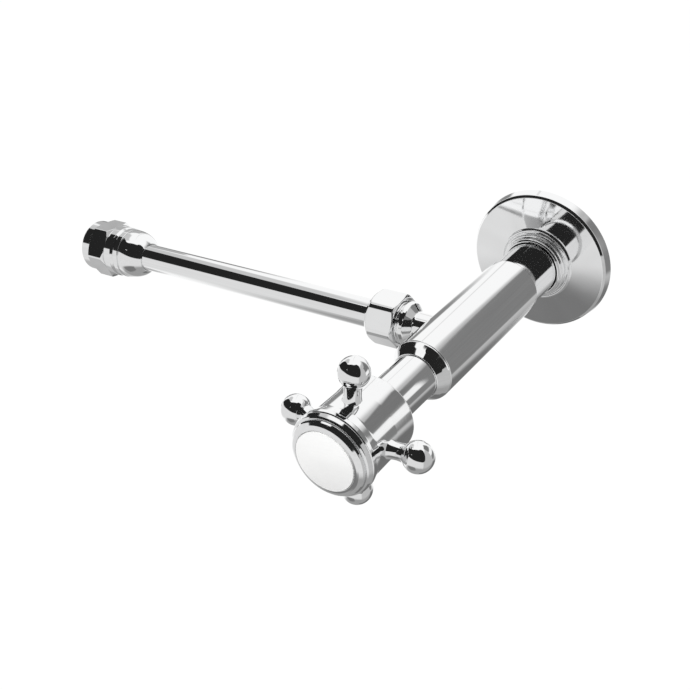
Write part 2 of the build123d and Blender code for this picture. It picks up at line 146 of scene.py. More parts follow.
def share(name, description, default):
    """A number from 0 to 1."""
    return bpy.props.FloatProperty(
        name=name, description=description, default=default, min=0, max=1, subtype="FACTOR"
    )


class ValveSizes(bpy.types.PropertyGroup):
    """Diameters and pitches of the valve's visible pieces."""

    pipe: length("Pipe", "Diameter of the pipe from the wall", 19.2)
    pipe_thread: length("Pipe thread", "Outside diameter of the inlet thread", 16.66)
    pipe_pitch: length("Pipe pitch", "Pitch of the inlet thread and of the union nut's", 1.337)
    flange: length("Flange", "Diameter of the wall flange", width("wall_flange", X))
    body: length("Body", "Diameter of the valve's body", width("valve_body", X))
    stub: length("Stub", "Diameter of the outlet's stub in the body", 9.2)
    spigot_thread: length("Spigot thread", "Outside diameter of the tube nut's thread", 14.8)
    spigot_pitch: length("Spigot pitch", "Pitch of the tube nut's thread", 0.95)
    shroud: length("Shroud", "Diameter of the sleeve round the spindle", width("headwork_shroud", X))
    hub: length("Hub", "Diameter of the handle's hub at its skirt", 25.4)
    head: length("Head", "Diameter of the handle's head", width("index_cap", X))
    index: length("Index", "Diameter of the white button", width("ceramic_index", X))
    ball: length("Ball", "Diameter of the balls of the handle", 9.6)
    ball_circle: length("Ball circle", "Distance of a ball's centre from the axis", 20.8)
    tube: length("Tube", "Outside diameter of the side tube", width("supply_tube", Z))
    tube_nut: length("Tube nut", "Tube nut across its flats", 17.0)
    union_nut: length("Union nut", "Union nut across its flats", 19.0)


class ValveFinish(bpy.types.PropertyGroup):
    """Colours and polish."""

    chrome: colour("Chrome", "Reflected colour of the plating", (0.93, 0.933, 0.936))
    haze: share("Chrome haze", "Roughness of the clearest plating", 0.03)
    ceramic: colour("Ceramic", "Glaze of the button", (0.9, 0.9, 0.895))
    brass: colour("Brass", "Bare brass of the headwork", (0.72, 0.5, 0.2))
    steel: colour("Steel", "Circlips and screw", (0.62, 0.61, 0.59))
    rubber: colour("Rubber", "Seal rings and washers", (0.02, 0.02, 0.021))
    fibre: colour("Fibre", "Union washer", (0.33, 0.09, 0.05))


class ValveStudio(bpy.types.PropertyGroup):
    """Floor, lamps and camera."""

    floor_drop: bpy.props.FloatProperty(
        name="Floor drop", description="How far the floor lies below the axis",
        default=1.3, min=0.1, unit="LENGTH",
    )
    floor_size: bpy.props.FloatProperty(
        name="Floor size", description="Side of the floor", default=30.0, min=1, unit="LENGTH"
    )
    card_distance: bpy.props.FloatProperty(
        name="Card distance", description="How far the reflected cards stand from the valve",
        default=1.1, min=0.3, unit="LENGTH",
    )
    sky: share("Sky", "Strength of the even light from all sides", 0.75)
    key: bpy.props.FloatProperty(
        name="Key lamp", description="Power of the soft lamp", default=10.0, min=0, unit="POWER"
    )
    focal: bpy.props.FloatProperty(
        name="Focal length", description="Focal length of the camera, in millimetres",
        default=59.846, min=1, subtype="DISTANCE_CAMERA",
    )


# Outlines

def corner_arc(corner, back, ahead, rounding):
    """A rounded corner with a support point on each side.

    The arc touches both sides at rounding / tan(h) from the corner, where h is half the angle
    between them, and its centre is on their bisector at rounding / sin(h). A point of the arc is
    centre + rounding * (side * sin(turn) - bisector * cos(turn)).
    """
    back_length = np.hypot(*back)
    ahead_length = np.hypot(*ahead)
    back = back / back_length
    ahead = ahead / ahead_length
    half = np.arccos(np.clip(back @ ahead, -1, 1)) / 2
    reach = min(rounding / np.tan(half), ARC_SHARE * back_length, ARC_SHARE * ahead_length)
    radius = reach * np.tan(half)
    middle = (back + ahead) / np.hypot(*(back + ahead))
    side = ahead - (ahead @ middle) * middle
    side = side / np.hypot(*side)
    centre = corner + middle * radius / np.sin(half)
    sweep = np.pi - 2 * half
    steps = FEWEST_STEPS
    if radius >= SMALL_ROUND:
        steps = max(FEWEST_STEPS, int(np.ceil(sweep / ARC_STEP)))
    turn = np.linspace(-sweep / 2, sweep / 2, steps + 1)[:, None]
    arc = centre + radius * (side * np.sin(turn) - middle * np.cos(turn))
    before = corner + back * (reach + min(SUPPORT, SUPPORT_SHARE * back_length))
    after = corner + ahead * (reach + min(SUPPORT, SUPPORT_SHARE * ahead_length))
    return np.vstack([before, arc, after])


def outline(corners, closed=True):
    """Points (along, radius) of an outline from its corners (along, radius, rounding).

    An open outline keeps its two ends as they are.
    """
    places = np.array([corner[:2] for corner in corners], float)
    parts = []
    for number, corner in enumerate(corners):
        if not closed and number in (0, len(corners) - 1):
            parts.append(places[number:number + 1])
            continue
        back = places[number - 1] - places[number]
        ahead = places[(number + 1) % len(places)] - places[number]
        rounding = corner[2] if len(corner) > 2 else EDGE_ROUND
        parts.append(corner_arc(places[number], back, ahead, rounding))
    return np.vstack(parts)


def subdivided(points, start, end, step):
    """An outline with extra points between two stations, evenly spaced along the part there."""
    along = points[:, 0]
    low, high = min(start, end), max(start, end)
    ahead = np.roll(points, -1, axis=0)
    reach = np.abs(ahead[:, 0] - along)
    inside = np.minimum(along, ahead[:, 0]) >= low - SAME
    inside &= np.maximum(along, ahead[:, 0]) <= high + SAME
    count = np.where(inside, np.maximum(1, np.ceil(reach / step)), 1).astype(int)
    first = np.repeat(np.cumsum(count) - count, count)
    part = (np.arange(count.sum()) - first) / np.repeat(count, count)
    way = np.repeat(ahead - points, count, axis=0)
    return np.repeat(points, count, axis=0) + part[:, None] * way


# Surfaces

def round_angles(turns=TURNS):
    """Evenly spaced angles of a full turn."""
    return np.linspace(0, 2 * np.pi, turns, endpoint=False)


def round_valve(along, radius, angle):
    """Points round the valve's axis: (radius cos angle, along, radius sin angle)."""
    return np.stack(np.broadcast_arrays(radius * np.cos(angle), along, radius * np.sin(angle)), -1)


def round_tube(along, radius, angle):
    """Points round the side tube's axis: (along, axis + radius cos angle, radius sin angle)."""
    return np.stack(
        np.broadcast_arrays(along, SIDE_Y + radius * np.cos(angle), radius * np.sin(angle)), -1
    )


def thread_cut(along, angle, pitch, depth, start, end):
    """How far a thread is cut below its crest, at each place along and angle round.

    A wave of one period for each pitch along and for each full turn makes the helix. Its
    triangle has a narrow flat at the crest and at the root, and it fades in at each end.
    """
    phase = np.mod(along / pitch + angle / (2 * np.pi), 1.0)
    wave = np.abs(2 * phase - 1)
    flank = np.clip((wave - THREAD_FLAT) / (1 - 2 * THREAD_FLAT), 0, 1)
    low, high = min(start, end), max(start, end)
    run = THREAD_FADE * pitch
    fade = np.clip((along - low) / run, 0, 1) * np.clip((high - along) / run, 0, 1)
    return depth * flank * fade


def grid_faces(rows, columns, ring):
    """Four corner numbers for each face of a grid whose columns close round it."""
    row = np.arange(rows if ring else rows - 1)[:, None]
    column = np.arange(columns)[None, :]
    ahead = (row + 1) % rows
    right = (column + 1) % columns
    corners = [row * columns + column, row * columns + right]
    corners += [ahead * columns + right, ahead * columns + column]
    return np.stack(corners, -1).reshape(-1, 4)


def volume(points, faces):
    """Signed volume inside faces, positive where they point outwards: the sum of a . (b x c) / 6."""
    a, b = points[faces[:, 0]], points[faces[:, 1]]
    total = 0.0
    for number in range(2, faces.shape[1]):
        c = points[faces[:, number]]
        total += np.einsum("ij,ij->", a, np.cross(b, c)) / 6
        b = c
    return total


def shell(grid, ring=True):
    """Points and faces of one closed surface from a grid of points.

    A ring's rows close on each other. Otherwise the first and last rows are on the axis, and
    each becomes one point with a fan of three-sided faces.
    """
    columns = grid.shape[1]
    if ring:
        points = grid.reshape(-1, 3)
        quads = grid_faces(grid.shape[0], columns, True)
        fans = np.zeros((0, 3), int)
    else:
        middle = grid[1:-1]
        points = np.vstack([middle.reshape(-1, 3), grid[0, :1], grid[-1, :1]])
        quads = grid_faces(middle.shape[0], columns, False)
        column = np.arange(columns)
        right = (column + 1) % columns
        last = (middle.shape[0] - 1) * columns
        first_pole = middle.shape[0] * columns
        fans = np.vstack(
            [
                np.stack([np.full(columns, first_pole), right, column], -1),
                np.stack([last + column, last + right, np.full(columns, first_pole + 1)], -1),
            ]
        )
    size = volume(points, quads) + (volume(points, fans) if len(fans) else 0)
    if size < 0:
        quads, fans = quads[:, ::-1], fans[:, ::-1]
    return points, quads, fans


def fill_mesh(name, shells):
    """One mesh in metres from the points and faces of one or more closed surfaces."""
    points = np.vstack([one[0] for one in shells])
    before = np.cumsum([0] + [len(one[0]) for one in shells[:-1]])
    quads = np.vstack([one[1] + start for one, start in zip(shells, before)])
    fans = np.vstack([one[2] + start for one, start in zip(shells, before)])
    corners = np.concatenate([quads.ravel(), fans.ravel()]).astype(np.int32)
    starts = np.concatenate([4 * np.arange(len(quads)), quads.size + 3 * np.arange(len(fans))])
    mesh = bpy.data.meshes.new(name)
    mesh.vertices.add(len(points))
    mesh.vertices.foreach_set("co", (points * MM).astype(np.float32).ravel())
    mesh.loops.add(len(corners))
    mesh.loops.foreach_set("vertex_index", corners)
    mesh.polygons.add(len(starts))
    mesh.polygons.foreach_set("loop_start", starts.astype(np.int32))
    mesh.update(calc_edges=True)
    if mesh.validate():
        raise RuntimeError(f"the surface of {name} has broken faces")
    mesh.shade_smooth()
    mesh.set_sharp_from_angle(angle=SHARP_EDGE)
    return mesh


def add_piece(name, shells, body, nodes, material):
    """Links one piece that stands for CAD nodes, rides on their body and has its finish."""
    piece = bpy.data.objects.new(name, fill_mesh(name, shells))
    bpy.context.scene.collection.objects.link(piece)
    piece.data.materials.append(material)
    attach(piece, body)
    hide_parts(*nodes)
    return piece


def turned(corners):
    """The closed surface of corners (along, radius, rounding) turned round the valve's axis."""
    points = outline(corners)
    return shell(round_valve(points[:, :1], points[:, 1:], round_angles()))


def turned_side(corners):
    """The closed surface of corners (along, radius, rounding) turned round the side tube."""
    points = outline(corners)
    return shell(round_tube(points[:, :1], points[:, 1:], round_angles()))


# Hexagons

def hexagon_angles(across_flats, rounding, turn):
    """Angles round a hexagon, close together in its rounded corners and evenly on its flats."""
    arc = corner_half_angle(across_flats, rounding)
    corner = np.linspace(-arc, arc, HEXAGON_ARC_STEPS, endpoint=False)
    near = np.array(FLAT_EDGE)
    even = np.linspace(FLAT_START, 1 - FLAT_START, HEXAGON_FLAT_STEPS)
    flat = np.concatenate([near, even, 1 - near[:0:-1]])
    flat = arc + flat * (np.pi / 3 - 2 * arc)
    sector = np.concatenate([corner, flat])
    return (turn + np.arange(6)[:, None] * np.pi / 3 + sector[None, :]).ravel()


def corner_half_angle(across_flats, rounding):
    """Half the angle that a rounded corner of a hexagon takes, seen from its middle."""
    centre = (across_flats / 2 - rounding) / np.cos(np.pi / 6)
    return np.arctan2(rounding * np.sin(np.pi / 6), centre + rounding * np.cos(np.pi / 6))


def hexagon_radius(across_flats, rounding, turn, angle):
    """Radius of a hexagon with rounded corners at each angle.

    With p the angle from the nearest corner, the flat's radius is h / cos(30 degrees - p), and
    the corner's is d cos p + sqrt(r^2 - d^2 sin^2 p), where d is how far the rounding's centre
    lies from the middle.
    """
    apothem = across_flats / 2
    centre = (apothem - rounding) / np.cos(np.pi / 6)
    off = np.abs(np.mod(angle - turn + np.pi / 6, np.pi / 3) - np.pi / 6)
    flat = apothem / np.cos(np.pi / 6 - off)
    inside = np.maximum(rounding**2 - (centre * np.sin(off)) ** 2, 0)
    corner = centre * np.cos(off) + np.sqrt(inside)
    return np.where(off < corner_half_angle(across_flats, rounding), corner, flat)


def rising_side(envelope, radius, crease, rows):
    """Rows up one end of a nut, from the envelope's start to where the flat begins.

    The envelope is an outline whose radius rises. Each column follows it as far as its own
    hexagon radius. There a curve (1 - t)^2 a + 2 t (1 - t) b + t^2 c rounds the edge, with the
    crossing of envelope and flat as its middle point b.
    """
    step = np.hypot(*np.diff(envelope, axis=0).T)
    travel = np.concatenate([[0], np.cumsum(step)])
    rising = np.maximum.accumulate(envelope[:, 1] + RISE * np.arange(len(envelope)))
    crossing = np.interp(radius, rising, travel)
    cut = np.maximum(crossing - crease, crossing * STRAIGHT_SHARE)
    part = np.linspace(0, 1, rows)[:, None] * cut[None, :]
    along = np.interp(part, travel, envelope[:, 0])
    height = np.interp(part, travel, envelope[:, 1])
    direction = np.sign(envelope[-1, 0] - envelope[0, 0])
    cross_along = np.interp(crossing, travel, envelope[:, 0])
    t = np.linspace(0, 1, CREASE_STEPS + 1)[1:, None]
    first, middle, last = (1 - t) ** 2, 2 * t * (1 - t), t**2
    curve_along = first * along[-1] + middle * cross_along
    curve_along = curve_along + last * (cross_along + direction * crease)
    curve_height = first * height[-1] + (middle + last) * radius
    return np.vstack([along, curve_along]), np.vstack([height, curve_height])


def nut_rows(inner_end, outer_end, radius, crease, rows):
    """Rows over a whole hexagon, from its inner end's envelope to its outer end's."""
    along_in, height_in = rising_side(inner_end, radius, crease, rows)
    along_out, height_out = rising_side(outer_end, radius, crease, rows)
    flat = np.array(FLAT_ROWS)[:, None]
    along_flat = along_in[-1] + flat * (along_out[-1] - along_in[-1])
    height_flat = np.broadcast_to(radius, along_flat.shape)
    along = np.vstack([along_in, along_flat, along_out[::-1]])
    return along, np.vstack([height_in, height_flat, height_out[::-1]])


def columns_of(points, count):
    """Along and radius of an outline's points, repeated for each column."""
    return np.repeat(points[:, :1], count, axis=1), np.repeat(points[:, 1:], count, axis=1)


# Wall side

def build_inlet_tail(sizes, finishes):
    """The pipe from the wall, with a real helical thread behind it."""
    thread_r = sizes.pipe_thread / 2 / MM
    pipe_r = sizes.pipe / 2 / MM
    pitch = sizes.pipe_pitch / MM
    front, back = span("inlet_tail", Y)
    shoulder = span("valve_body", Y)[1]
    bore_r = 6.4
    socket_r = 8.3
    lead_in = 1.0
    thread_start = 0.4
    end_wall = 0.6
    corners = [
        (back, bore_r, 0.3),
        (back, thread_r - lead_in, 0.15),
        (back - lead_in, thread_r, 0.15),
        (0.0, thread_r, 0.1),
        (0.0, pipe_r, 0.3),
        (shoulder, pipe_r, 0.15),
        (shoulder, socket_r),
        (front, socket_r, 0.2),
        (front, bore_r, 0.2),
    ]
    points = subdivided(outline(corners), 0.0, back, pitch / THREAD_STEPS)
    angle = round_angles()
    along, radius = points[:, :1], points[:, 1:]
    outside = radius > bore_r + end_wall
    thread_end = back + THREAD_FADE * pitch
    cut = thread_cut(along, angle, pitch, THREAD_DEPTH * pitch, thread_start, thread_end)
    grid = round_valve(along, radius - np.where(outside, cut, 0), angle)
    add_piece("wall_pipe", [shell(grid)], "valve", ["inlet_tail"], finishes["chrome_pipe"])


def build_wall_flange(sizes, finishes):
    """The dished wall plate with its stepped and grooved collar."""
    rim = sizes.flange / 2 / MM
    bore = sizes.pipe / 2 / MM + 0.3
    front = span("wall_flange", Y)[0]
    ring_r = 11.3
    ring_front, ring_back = -6.9, -4.7
    back_face = -0.5
    inner_rim = rim - 1.5
    corners = [
        # The plate's edge and its sloping face
        (0.0, rim, 0.15),
        (-3.3, rim - 0.6, 0.5),
        (-4.05, rim - 1.4, 0.3),
        # The collar: a step, a groove, and two smaller steps
        (-4.75, 13.3, 0.15),
        (-6.1, 13.1, 0.3),
        (-6.1, 12.45, 0.15),
        (-5.65, 12.3, 0.1),
        (-5.65, 11.85, 0.1),
        (-7.3, 11.7, 0.3),
        (-7.3, 11.1, 0.15),
        (-8.5, 10.95, 0.2),
        (-8.5, 10.6, 0.1),
        (front, 10.35, 0.15),
        # The bore, with the rubber ring's groove
        (front, bore, 0.1),
        (ring_front, bore, 0.1),
        (ring_front, ring_r),
        (ring_back, ring_r),
        (ring_back, bore, 0.1),
        # The hollow back
        (back_face, bore, 0.15),
        (back_face, 13.6, 0.15),
        (-3.2, 14.0, 0.8),
        (-2.5, inner_rim, 0.5),
        (0.0, inner_rim, 0.1),
    ]
    add_piece(
        "flange_plate", [turned(corners)], "flange", ["wall_flange"], finishes["chrome_pipe"]
    )


# Body

def build_valve_body(sizes, finishes):
    """The tube body with its socket, seat, chamber and mouth."""
    body_r = sizes.body / 2 / MM
    front, back = span("valve_body", Y)
    socket_r, socket_end = 8.35, -37.2
    mouth_r, mouth_end = 8.4, -72.0
    chamber_r, chamber_end = 7.6, -54.5
    seat_r, seat_face, seat_outer_r = 4.4, -55.5, 5.4
    throat_end, way_start, way_r = -48.0, -45.0, 6.4
    corners = [
        (back, socket_r),
        (back, sizes.pipe / 2 / MM + 0.1, 0.3),
        (back - 0.8, body_r, 0.3),
        (front, body_r, 0.35),
        (front, mouth_r),
        (mouth_end, mouth_r),
        (mouth_end, chamber_r),
        (chamber_end, chamber_r),
        (chamber_end, seat_outer_r),
        (seat_face, seat_outer_r, 0.2),
        (seat_face, seat_r, 0.2),
        (throat_end, seat_r),
        (way_start, way_r),
        (socket_end, way_r),
        (socket_end, socket_r),
    ]
    add_piece(
        "body_tube", [turned(corners)], "valve", ["valve_body"], finishes["chrome_body"]
    )


def brazed_ring(stub_r, body_r, leg, columns):
    """The small hollow fillet round the stub where it enters the round body.

    Round the stub at angle t, the body's surface is at x = -sqrt(body_r^2 - z^2). The section
    runs from the stub, a leg above that surface, along a quarter arc to the surface, a leg away
    from the stub, and back inside the metal.
    """
    arc_rows = 9
    root_r = stub_r - 0.3
    sunk = -0.4
    angle = round_angles(columns)
    bend = np.linspace(0, np.pi / 2, arc_rows)[:, None]
    out = stub_r + leg * (1 - np.cos(bend))
    rise = leg * (1 - np.sin(bend))
    out = np.vstack([out, [[stub_r + leg]], [[root_r]], [[root_r]]])
    rise = np.vstack([rise, [[sunk]], [[sunk]], [[leg * 0.9]]])
    z = out * np.sin(angle)
    x = -np.sqrt(body_r**2 - z**2) - rise
    return shell(np.stack(np.broadcast_arrays(x, SIDE_Y + out * np.cos(angle), z), -1))


def build_outlet_spigot(sizes, finishes):
    """The stub in the body's side, flared to the tube nut's thread, with a brazed ring."""
    stub_r = sizes.stub / 2 / MM
    thread_r = sizes.spigot_thread / 2 / MM
    pitch = sizes.spigot_pitch / MM
    mouth, inner = span("outlet_spigot", X)
    flare_start, thread_start = -15.0, -18.3
    bore_r = 3.6
    socket_r, socket_end = 5.05, -21.2
    cone_r, cone_depth = 6.1, 1.9
    least_thread_r = 6.5
    braze_leg = 0.55
    corners = [
        (inner, bore_r),
        (inner, stub_r),
        (flare_start, stub_r, 1.2),
        (thread_start + 1.0, thread_r - 0.3, 0.8),
        (thread_start, thread_r, 0.2),
        (mouth, thread_r, 0.3),
        (mouth, cone_r),
        (mouth + cone_depth, socket_r),
        (socket_end, socket_r),
        (socket_end, bore_r),
    ]
    points = subdivided(outline(corners), mouth + 0.3, thread_start, pitch / THREAD_STEPS)
    angle = round_angles()
    along, radius = points[:, :1], points[:, 1:]
    cut = thread_cut(along, angle, pitch, FINE_THREAD_DEPTH * pitch, mouth, thread_start - 0.35)
    grid = round_tube(along, radius - np.where(radius > least_thread_r, cut, 0), angle)
    ring = brazed_ring(stub_r, sizes.body / 2 / MM, braze_leg, TURNS // 2)
    add_piece(
        "side_stub", [shell(grid), ring], "valve", ["outlet_spigot"], finishes["chrome_side"]
    )


# Headwork

def build_body_cap(sizes, finishes):
    """The bright nose between the body and the shroud."""
    shoulder = sizes.body / 2 / MM - 0.05
    hole = sizes.shroud / 2 / MM + 0.05
    front, back = span("body_cap", Y)
    recess_r, lip = 9.1, -85.1
    nose, nose_r, nose_round = -86.1, 9.2, 8.0
    corners = [
        (back, recess_r),
        (back, shoulder, 0.15),
        (back - 0.35, shoulder - 0.05, 0.8),
        (nose, nose_r, nose_round),
        (front, hole + 0.3, 0.3),
        (front, hole),
        (lip, hole),
        (lip, recess_r),
    ]
    add_piece(
        "nose_ring", [turned(corners)], "valve", ["body_cap"], finishes["chrome_body"]
    )


def build_shroud(sizes, finishes):
    """The sleeve round the spindle."""
    outer = sizes.shroud / 2 / MM
    inner = outer - 0.95
    front, back = span("headwork_shroud", Y)
    corners = [(back, inner), (back, outer, 0.1), (front, outer, 0.3), (front, inner)]
    add_piece(
        "spindle_sleeve", [turned(corners)], "valve", ["headwork_shroud"],
        finishes["chrome_body"],
    )


# Handle

def build_handle_hub(sizes, finishes):
    """The hub, a little waisted, that flares to the groove behind the head."""
    hub_r = sizes.hub / 2 / MM
    head_r = sizes.head / 2 / MM
    front, back = span("handle_hub", Y)
    pocket_r, pocket_end = 9.0, -127.0
    bore_r, web_back, skirt_r = 4.0, -117.5, 8.0
    corners = [
        (back, hub_r, 1.0),
        (-118.0, hub_r - 0.15, 12.0),
        (-127.6, hub_r, 3.0),
        (-130.8, head_r, 1.0),
        (front + 0.25, head_r, 0.1),
        (front, head_r - 0.3, 0.1),
        (front, pocket_r),
        (pocket_end, pocket_r),
        (pocket_end, bore_r, 0.2),
        (web_back, bore_r, 0.2),
        (web_back, skirt_r),
        (back, skirt_r, 0.3),
    ]
    add_piece(
        "hub_skin", [turned(corners)], "handle", ["handle_hub"], finishes["chrome_handle"]
    )


# An arm's stations: distance from the axis, place along it and radius
ARM_STATIONS = np.array(
    [(11.2, -122.3, 3.3), (12.6, -122.0, 2.85), (14.4, -121.75, 2.6), (17.4, -121.4, 3.05)]
)
BALL_Y = -120.9
FIRST_ARM_TURN = np.radians(-4.2)

# An arm's rings: how many on its neck, across to the ball's middle and past it, where the closer
# ones begin, how softly neck and ball join, and how far past the last station the ball is alone
NECK_RINGS, NEAR_RINGS, FAR_RINGS = 22, 60, 26
CLOSE_START = 15.6
CLOSE_GAP = 0.1
ARM_BLEND = 0.12
BALL_ALONE = 0.8


def arm_grid(ball_r, ball_circle, turn, columns=72):
    """Points of an arm: rings round a gently curved line, then round a ball.

    The line is the parabola through the first station, the last and the ball's centre. A ring's
    radius is a cubic through the stations, joined to the ball's sqrt(R^2 - s^2) by a smooth
    greater-of: half of a + b + sqrt((a - b)^2 + k^2). The far half follows the ball's angle.
    """
    reach, place, thick = ARM_STATIONS.T
    line = np.polyfit([reach[0], reach[2], ball_circle], [place[0], place[2], BALL_Y], 2)
    neck = np.polyfit(reach, thick, 3)
    neck_out = np.linspace(reach[0], CLOSE_START, NECK_RINGS)
    near_out = np.linspace(CLOSE_START + CLOSE_GAP, ball_circle, NEAR_RINGS)
    out = np.concatenate([neck_out, near_out])
    away = ball_circle - out
    ball = np.sqrt(np.maximum(ball_r**2 - away**2, 0))
    stem = np.where(out < reach[3], np.polyval(neck, out), np.polyval(neck, reach[3]))
    radius = (ball + stem + np.sqrt((ball - stem) ** 2 + ARM_BLEND**2)) / 2
    radius = np.where(out > reach[3] + BALL_ALONE, ball, radius)
    far = np.linspace(0, np.pi / 2, FAR_RINGS)[1:]
    slope = np.polyval(np.polyder(line), out)
    end_slope = np.polyval(np.polyder(line), ball_circle)
    axis = np.array([1.0, end_slope]) / np.hypot(1, end_slope)
    centre_out = np.concatenate([out[:1], out, ball_circle + ball_r * np.sin(far) * axis[0]])
    centre_y = np.polyval(line, out)
    centre_y = np.concatenate([centre_y[:1], centre_y, BALL_Y + ball_r * np.sin(far) * axis[1]])
    slope = np.concatenate([slope[:1], slope, np.full(len(far), end_slope)])
    radius = np.concatenate([[0], radius, ball_r * np.cos(far)])
    radius[-1] = 0
    norm = np.sqrt(1 + slope**2)
    angle = round_angles(columns)
    lean_out = -slope / norm
    lean_y = 1 / norm
    outwards = centre_out[:, None] + radius[:, None] * lean_out[:, None] * np.cos(angle)
    along = centre_y[:, None] + radius[:, None] * lean_y[:, None] * np.cos(angle)
    across = radius[:, None] * np.sin(angle)
    x = outwards * np.cos(turn) - across * np.sin(turn)
    z = outwards * np.sin(turn) + across * np.cos(turn)
    return np.stack([x, along, z], -1)


def build_handle_arms(sizes, finishes):
    """Four waisted arms with ball ends."""
    for number in range(4):
        turn = FIRST_ARM_TURN + number * np.pi / 2
        grid = arm_grid(sizes.ball / 2 / MM, sizes.ball_circle / MM, turn)
        add_piece(
            f"arm_{number + 1}", [shell(grid, False)], "handle", [f"handle_arm_{number + 1}"],
            finishes["chrome_arms"],
        )


def build_index_cap(sizes, finishes):
    """The head: a rounded ring, a fine groove and the bezel round the button."""
    head_r = sizes.head / 2 / MM
    hole = sizes.index / 2 / MM + 0.1
    front, back = span("index_cap", Y)
    step = span("handle_hub", Y)[0]
    plug_r, bore_r = 8.95, 7.9
    pocket_r, pocket_front, pocket_back = 8.6, -135.5, -131.5
    groove_r = 12.1
    corners = [
        # The plug in the hub and the head's ring
        (back, bore_r),
        (back, plug_r),
        (step, plug_r),
        (step, head_r - 0.4, 0.1),
        (step - 0.35, head_r, 0.15),
        (-133.9, head_r - 0.5, 0.5),
        # The fine groove
        (-134.3, 12.6, 0.1),
        (-134.35, groove_r, 0.02),
        (-134.55, groove_r, 0.02),
        (-134.6, 12.4, 0.1),
        # The rounded bezel
        (-135.3, 12.05, 0.5),
        (-136.0, 11.2, 0.8),
        (-136.3, 10.5, 0.6),
        (front, hole, 0.15),
        # The button's pocket
        (pocket_front, hole),
        (pocket_front, pocket_r),
        (pocket_back, pocket_r),
        (pocket_back, bore_r),
    ]
    add_piece(
        "head_ring", [turned(corners)], "handle", ["index_cap"], finishes["chrome_handle"]
    )


def build_ceramic_index(sizes, finishes):
    """The glazed white button.

    Its dome is part of a ball whose radius is (rim^2 + rise^2) / (2 rise).
    """
    rim = sizes.index / 2 / MM
    front, back = span("ceramic_index", Y)
    edge = -136.6
    rise = edge - front
    ball = (rim**2 + rise**2) / (2 * rise)
    rim_round = 0.25
    dome_rows = 30
    lift = 0.012
    plug_r = 8.5
    groove_r, groove_back, groove_front = 7.7, -133.8, -134.8
    flange_back = -135.55
    spread = np.linspace(np.arcsin((rim - rim_round) / ball), 0, dome_rows)
    dome = np.stack([front + ball * (1 - np.cos(spread)), ball * np.sin(spread)], -1)
    corners = [
        (back, 0.0),
        (back, plug_r, 0.2),
        (groove_back, plug_r),
        (groove_back, groove_r),
        (groove_front, groove_r),
        (groove_front, plug_r),
        (flange_back, plug_r),
        (flange_back, rim, 0.2),
        (dome[0, 0] + lift, rim, 0.2),
        tuple(dome[0]),
    ]
    points = np.vstack([outline(corners, False), dome[1:]])
    grid = round_valve(points[:, :1], points[:, 1:], round_angles())
    add_piece(
        "index_button", [shell(grid, False)], "handle", ["ceramic_index"],
        finishes["ceramic"],
    )


# Side tube

def build_supply_tube(sizes, finishes):
    """The plated copper tube."""
    outer = sizes.tube / 2 / MM
    inner = outer - 1
    far, near = span("supply_tube", X)
    corners = [(near, inner), (near, outer, 0.2), (far, outer, 0.2), (far, inner)]
    add_piece(
        "side_tube", [turned_side(corners)], "valve", ["supply_tube"],
        finishes["chrome_tube"],
    )


def build_compression_nut(sizes, finishes):
    """The tube nut: a hexagon with rounded corners and a domed outer end."""
    across, rounding, turn = sizes.tube_nut / MM, 2.6, np.radians(66.3)
    outer, inner = span("compression_nut", X)
    bore_r, socket_r, past_corners = 5.1, 7.45, 9.9
    crease, rows = 0.35, 22
    angle = hexagon_angles(across, rounding, turn)
    radius = hexagon_radius(across, rounding, turn, angle)
    inner_end = outline(
        [
            (inner, socket_r),
            (inner, 8.35, 0.3),
            (inner - 0.95, past_corners, 0.5),
            (inner - 2, past_corners),
        ],
        False,
    )
    outer_end = outline(
        [
            (outer, bore_r),
            (outer, 7.0, 0.8),
            (outer + 2.6, past_corners, 1.8),
            (outer + 6, past_corners),
        ],
        False,
    )
    along, height = nut_rows(inner_end, outer_end, radius, crease, rows)
    bore = outline(
        [
            (outer, bore_r),
            (outer + 1.4, bore_r, 0.1),
            (outer + 3, 6.2),
            (outer + 3, socket_r),
            (inner, socket_r),
        ],
        False,
    )
    bore_along, bore_height = columns_of(bore[1:-1], len(angle))
    grid = round_tube(np.vstack([along, bore_along]), np.vstack([height, bore_height]), angle)
    add_piece(
        "tube_nut", [shell(grid)], "valve", ["compression_nut"], finishes["chrome_nuts"]
    )


def build_tail_cap(sizes, finishes):
    """The domed end of the tube and the spigot that the union nut turns on.

    The dome is a quarter ellipse turned round the tube: (start + length cos t, height sin t).
    """
    end = span("tail_cap", X)[0]
    dome_start = -142.6
    dome_length = 10.2
    dome_r = 9.15
    dome_rows = 34
    nose = -134.4
    tube_r = sizes.tube / 2 / MM + 0.04
    collar_r, collar_end = 9.3, -145.6
    neck_r, spigot_r = 8.75, 6.6
    groove_r, groove_near, groove_far = 6.0, -150.2, -151.2
    bore_r, socket_end = 4.0, -147.6
    first = np.arccos((nose - dome_start) / dome_length)
    bend = np.linspace(first, np.pi / 2, dome_rows)
    dome = np.stack([dome_start + dome_length * np.cos(bend), dome_r * np.sin(bend)], -1)
    rest = outline(
        [
            tuple(dome[-1]),
            (dome_start - 0.02, neck_r, 0.05),
            (dome_start - 0.5, neck_r, 0.05),
            (dome_start - 0.5, collar_r, 0.3),
            (collar_end, collar_r, 0.4),
            (collar_end, spigot_r, 0.3),
            (groove_near, spigot_r),
            (groove_near, groove_r),
            (groove_far, groove_r),
            (groove_far, spigot_r),
            (end, spigot_r, 0.3),
            (end, bore_r, 0.2),
            (socket_end, bore_r),
            (socket_end, tube_r),
            (nose, tube_r, 0.05),
            tuple(dome[0]),
        ],
        False,
    )
    points = np.vstack([dome, rest[1:-1]])
    grid = round_tube(points[:, :1], points[:, 1:], round_angles())
    add_piece("tail_dome", [shell(grid)], "valve", ["tail_cap"], finishes["chrome_side"])


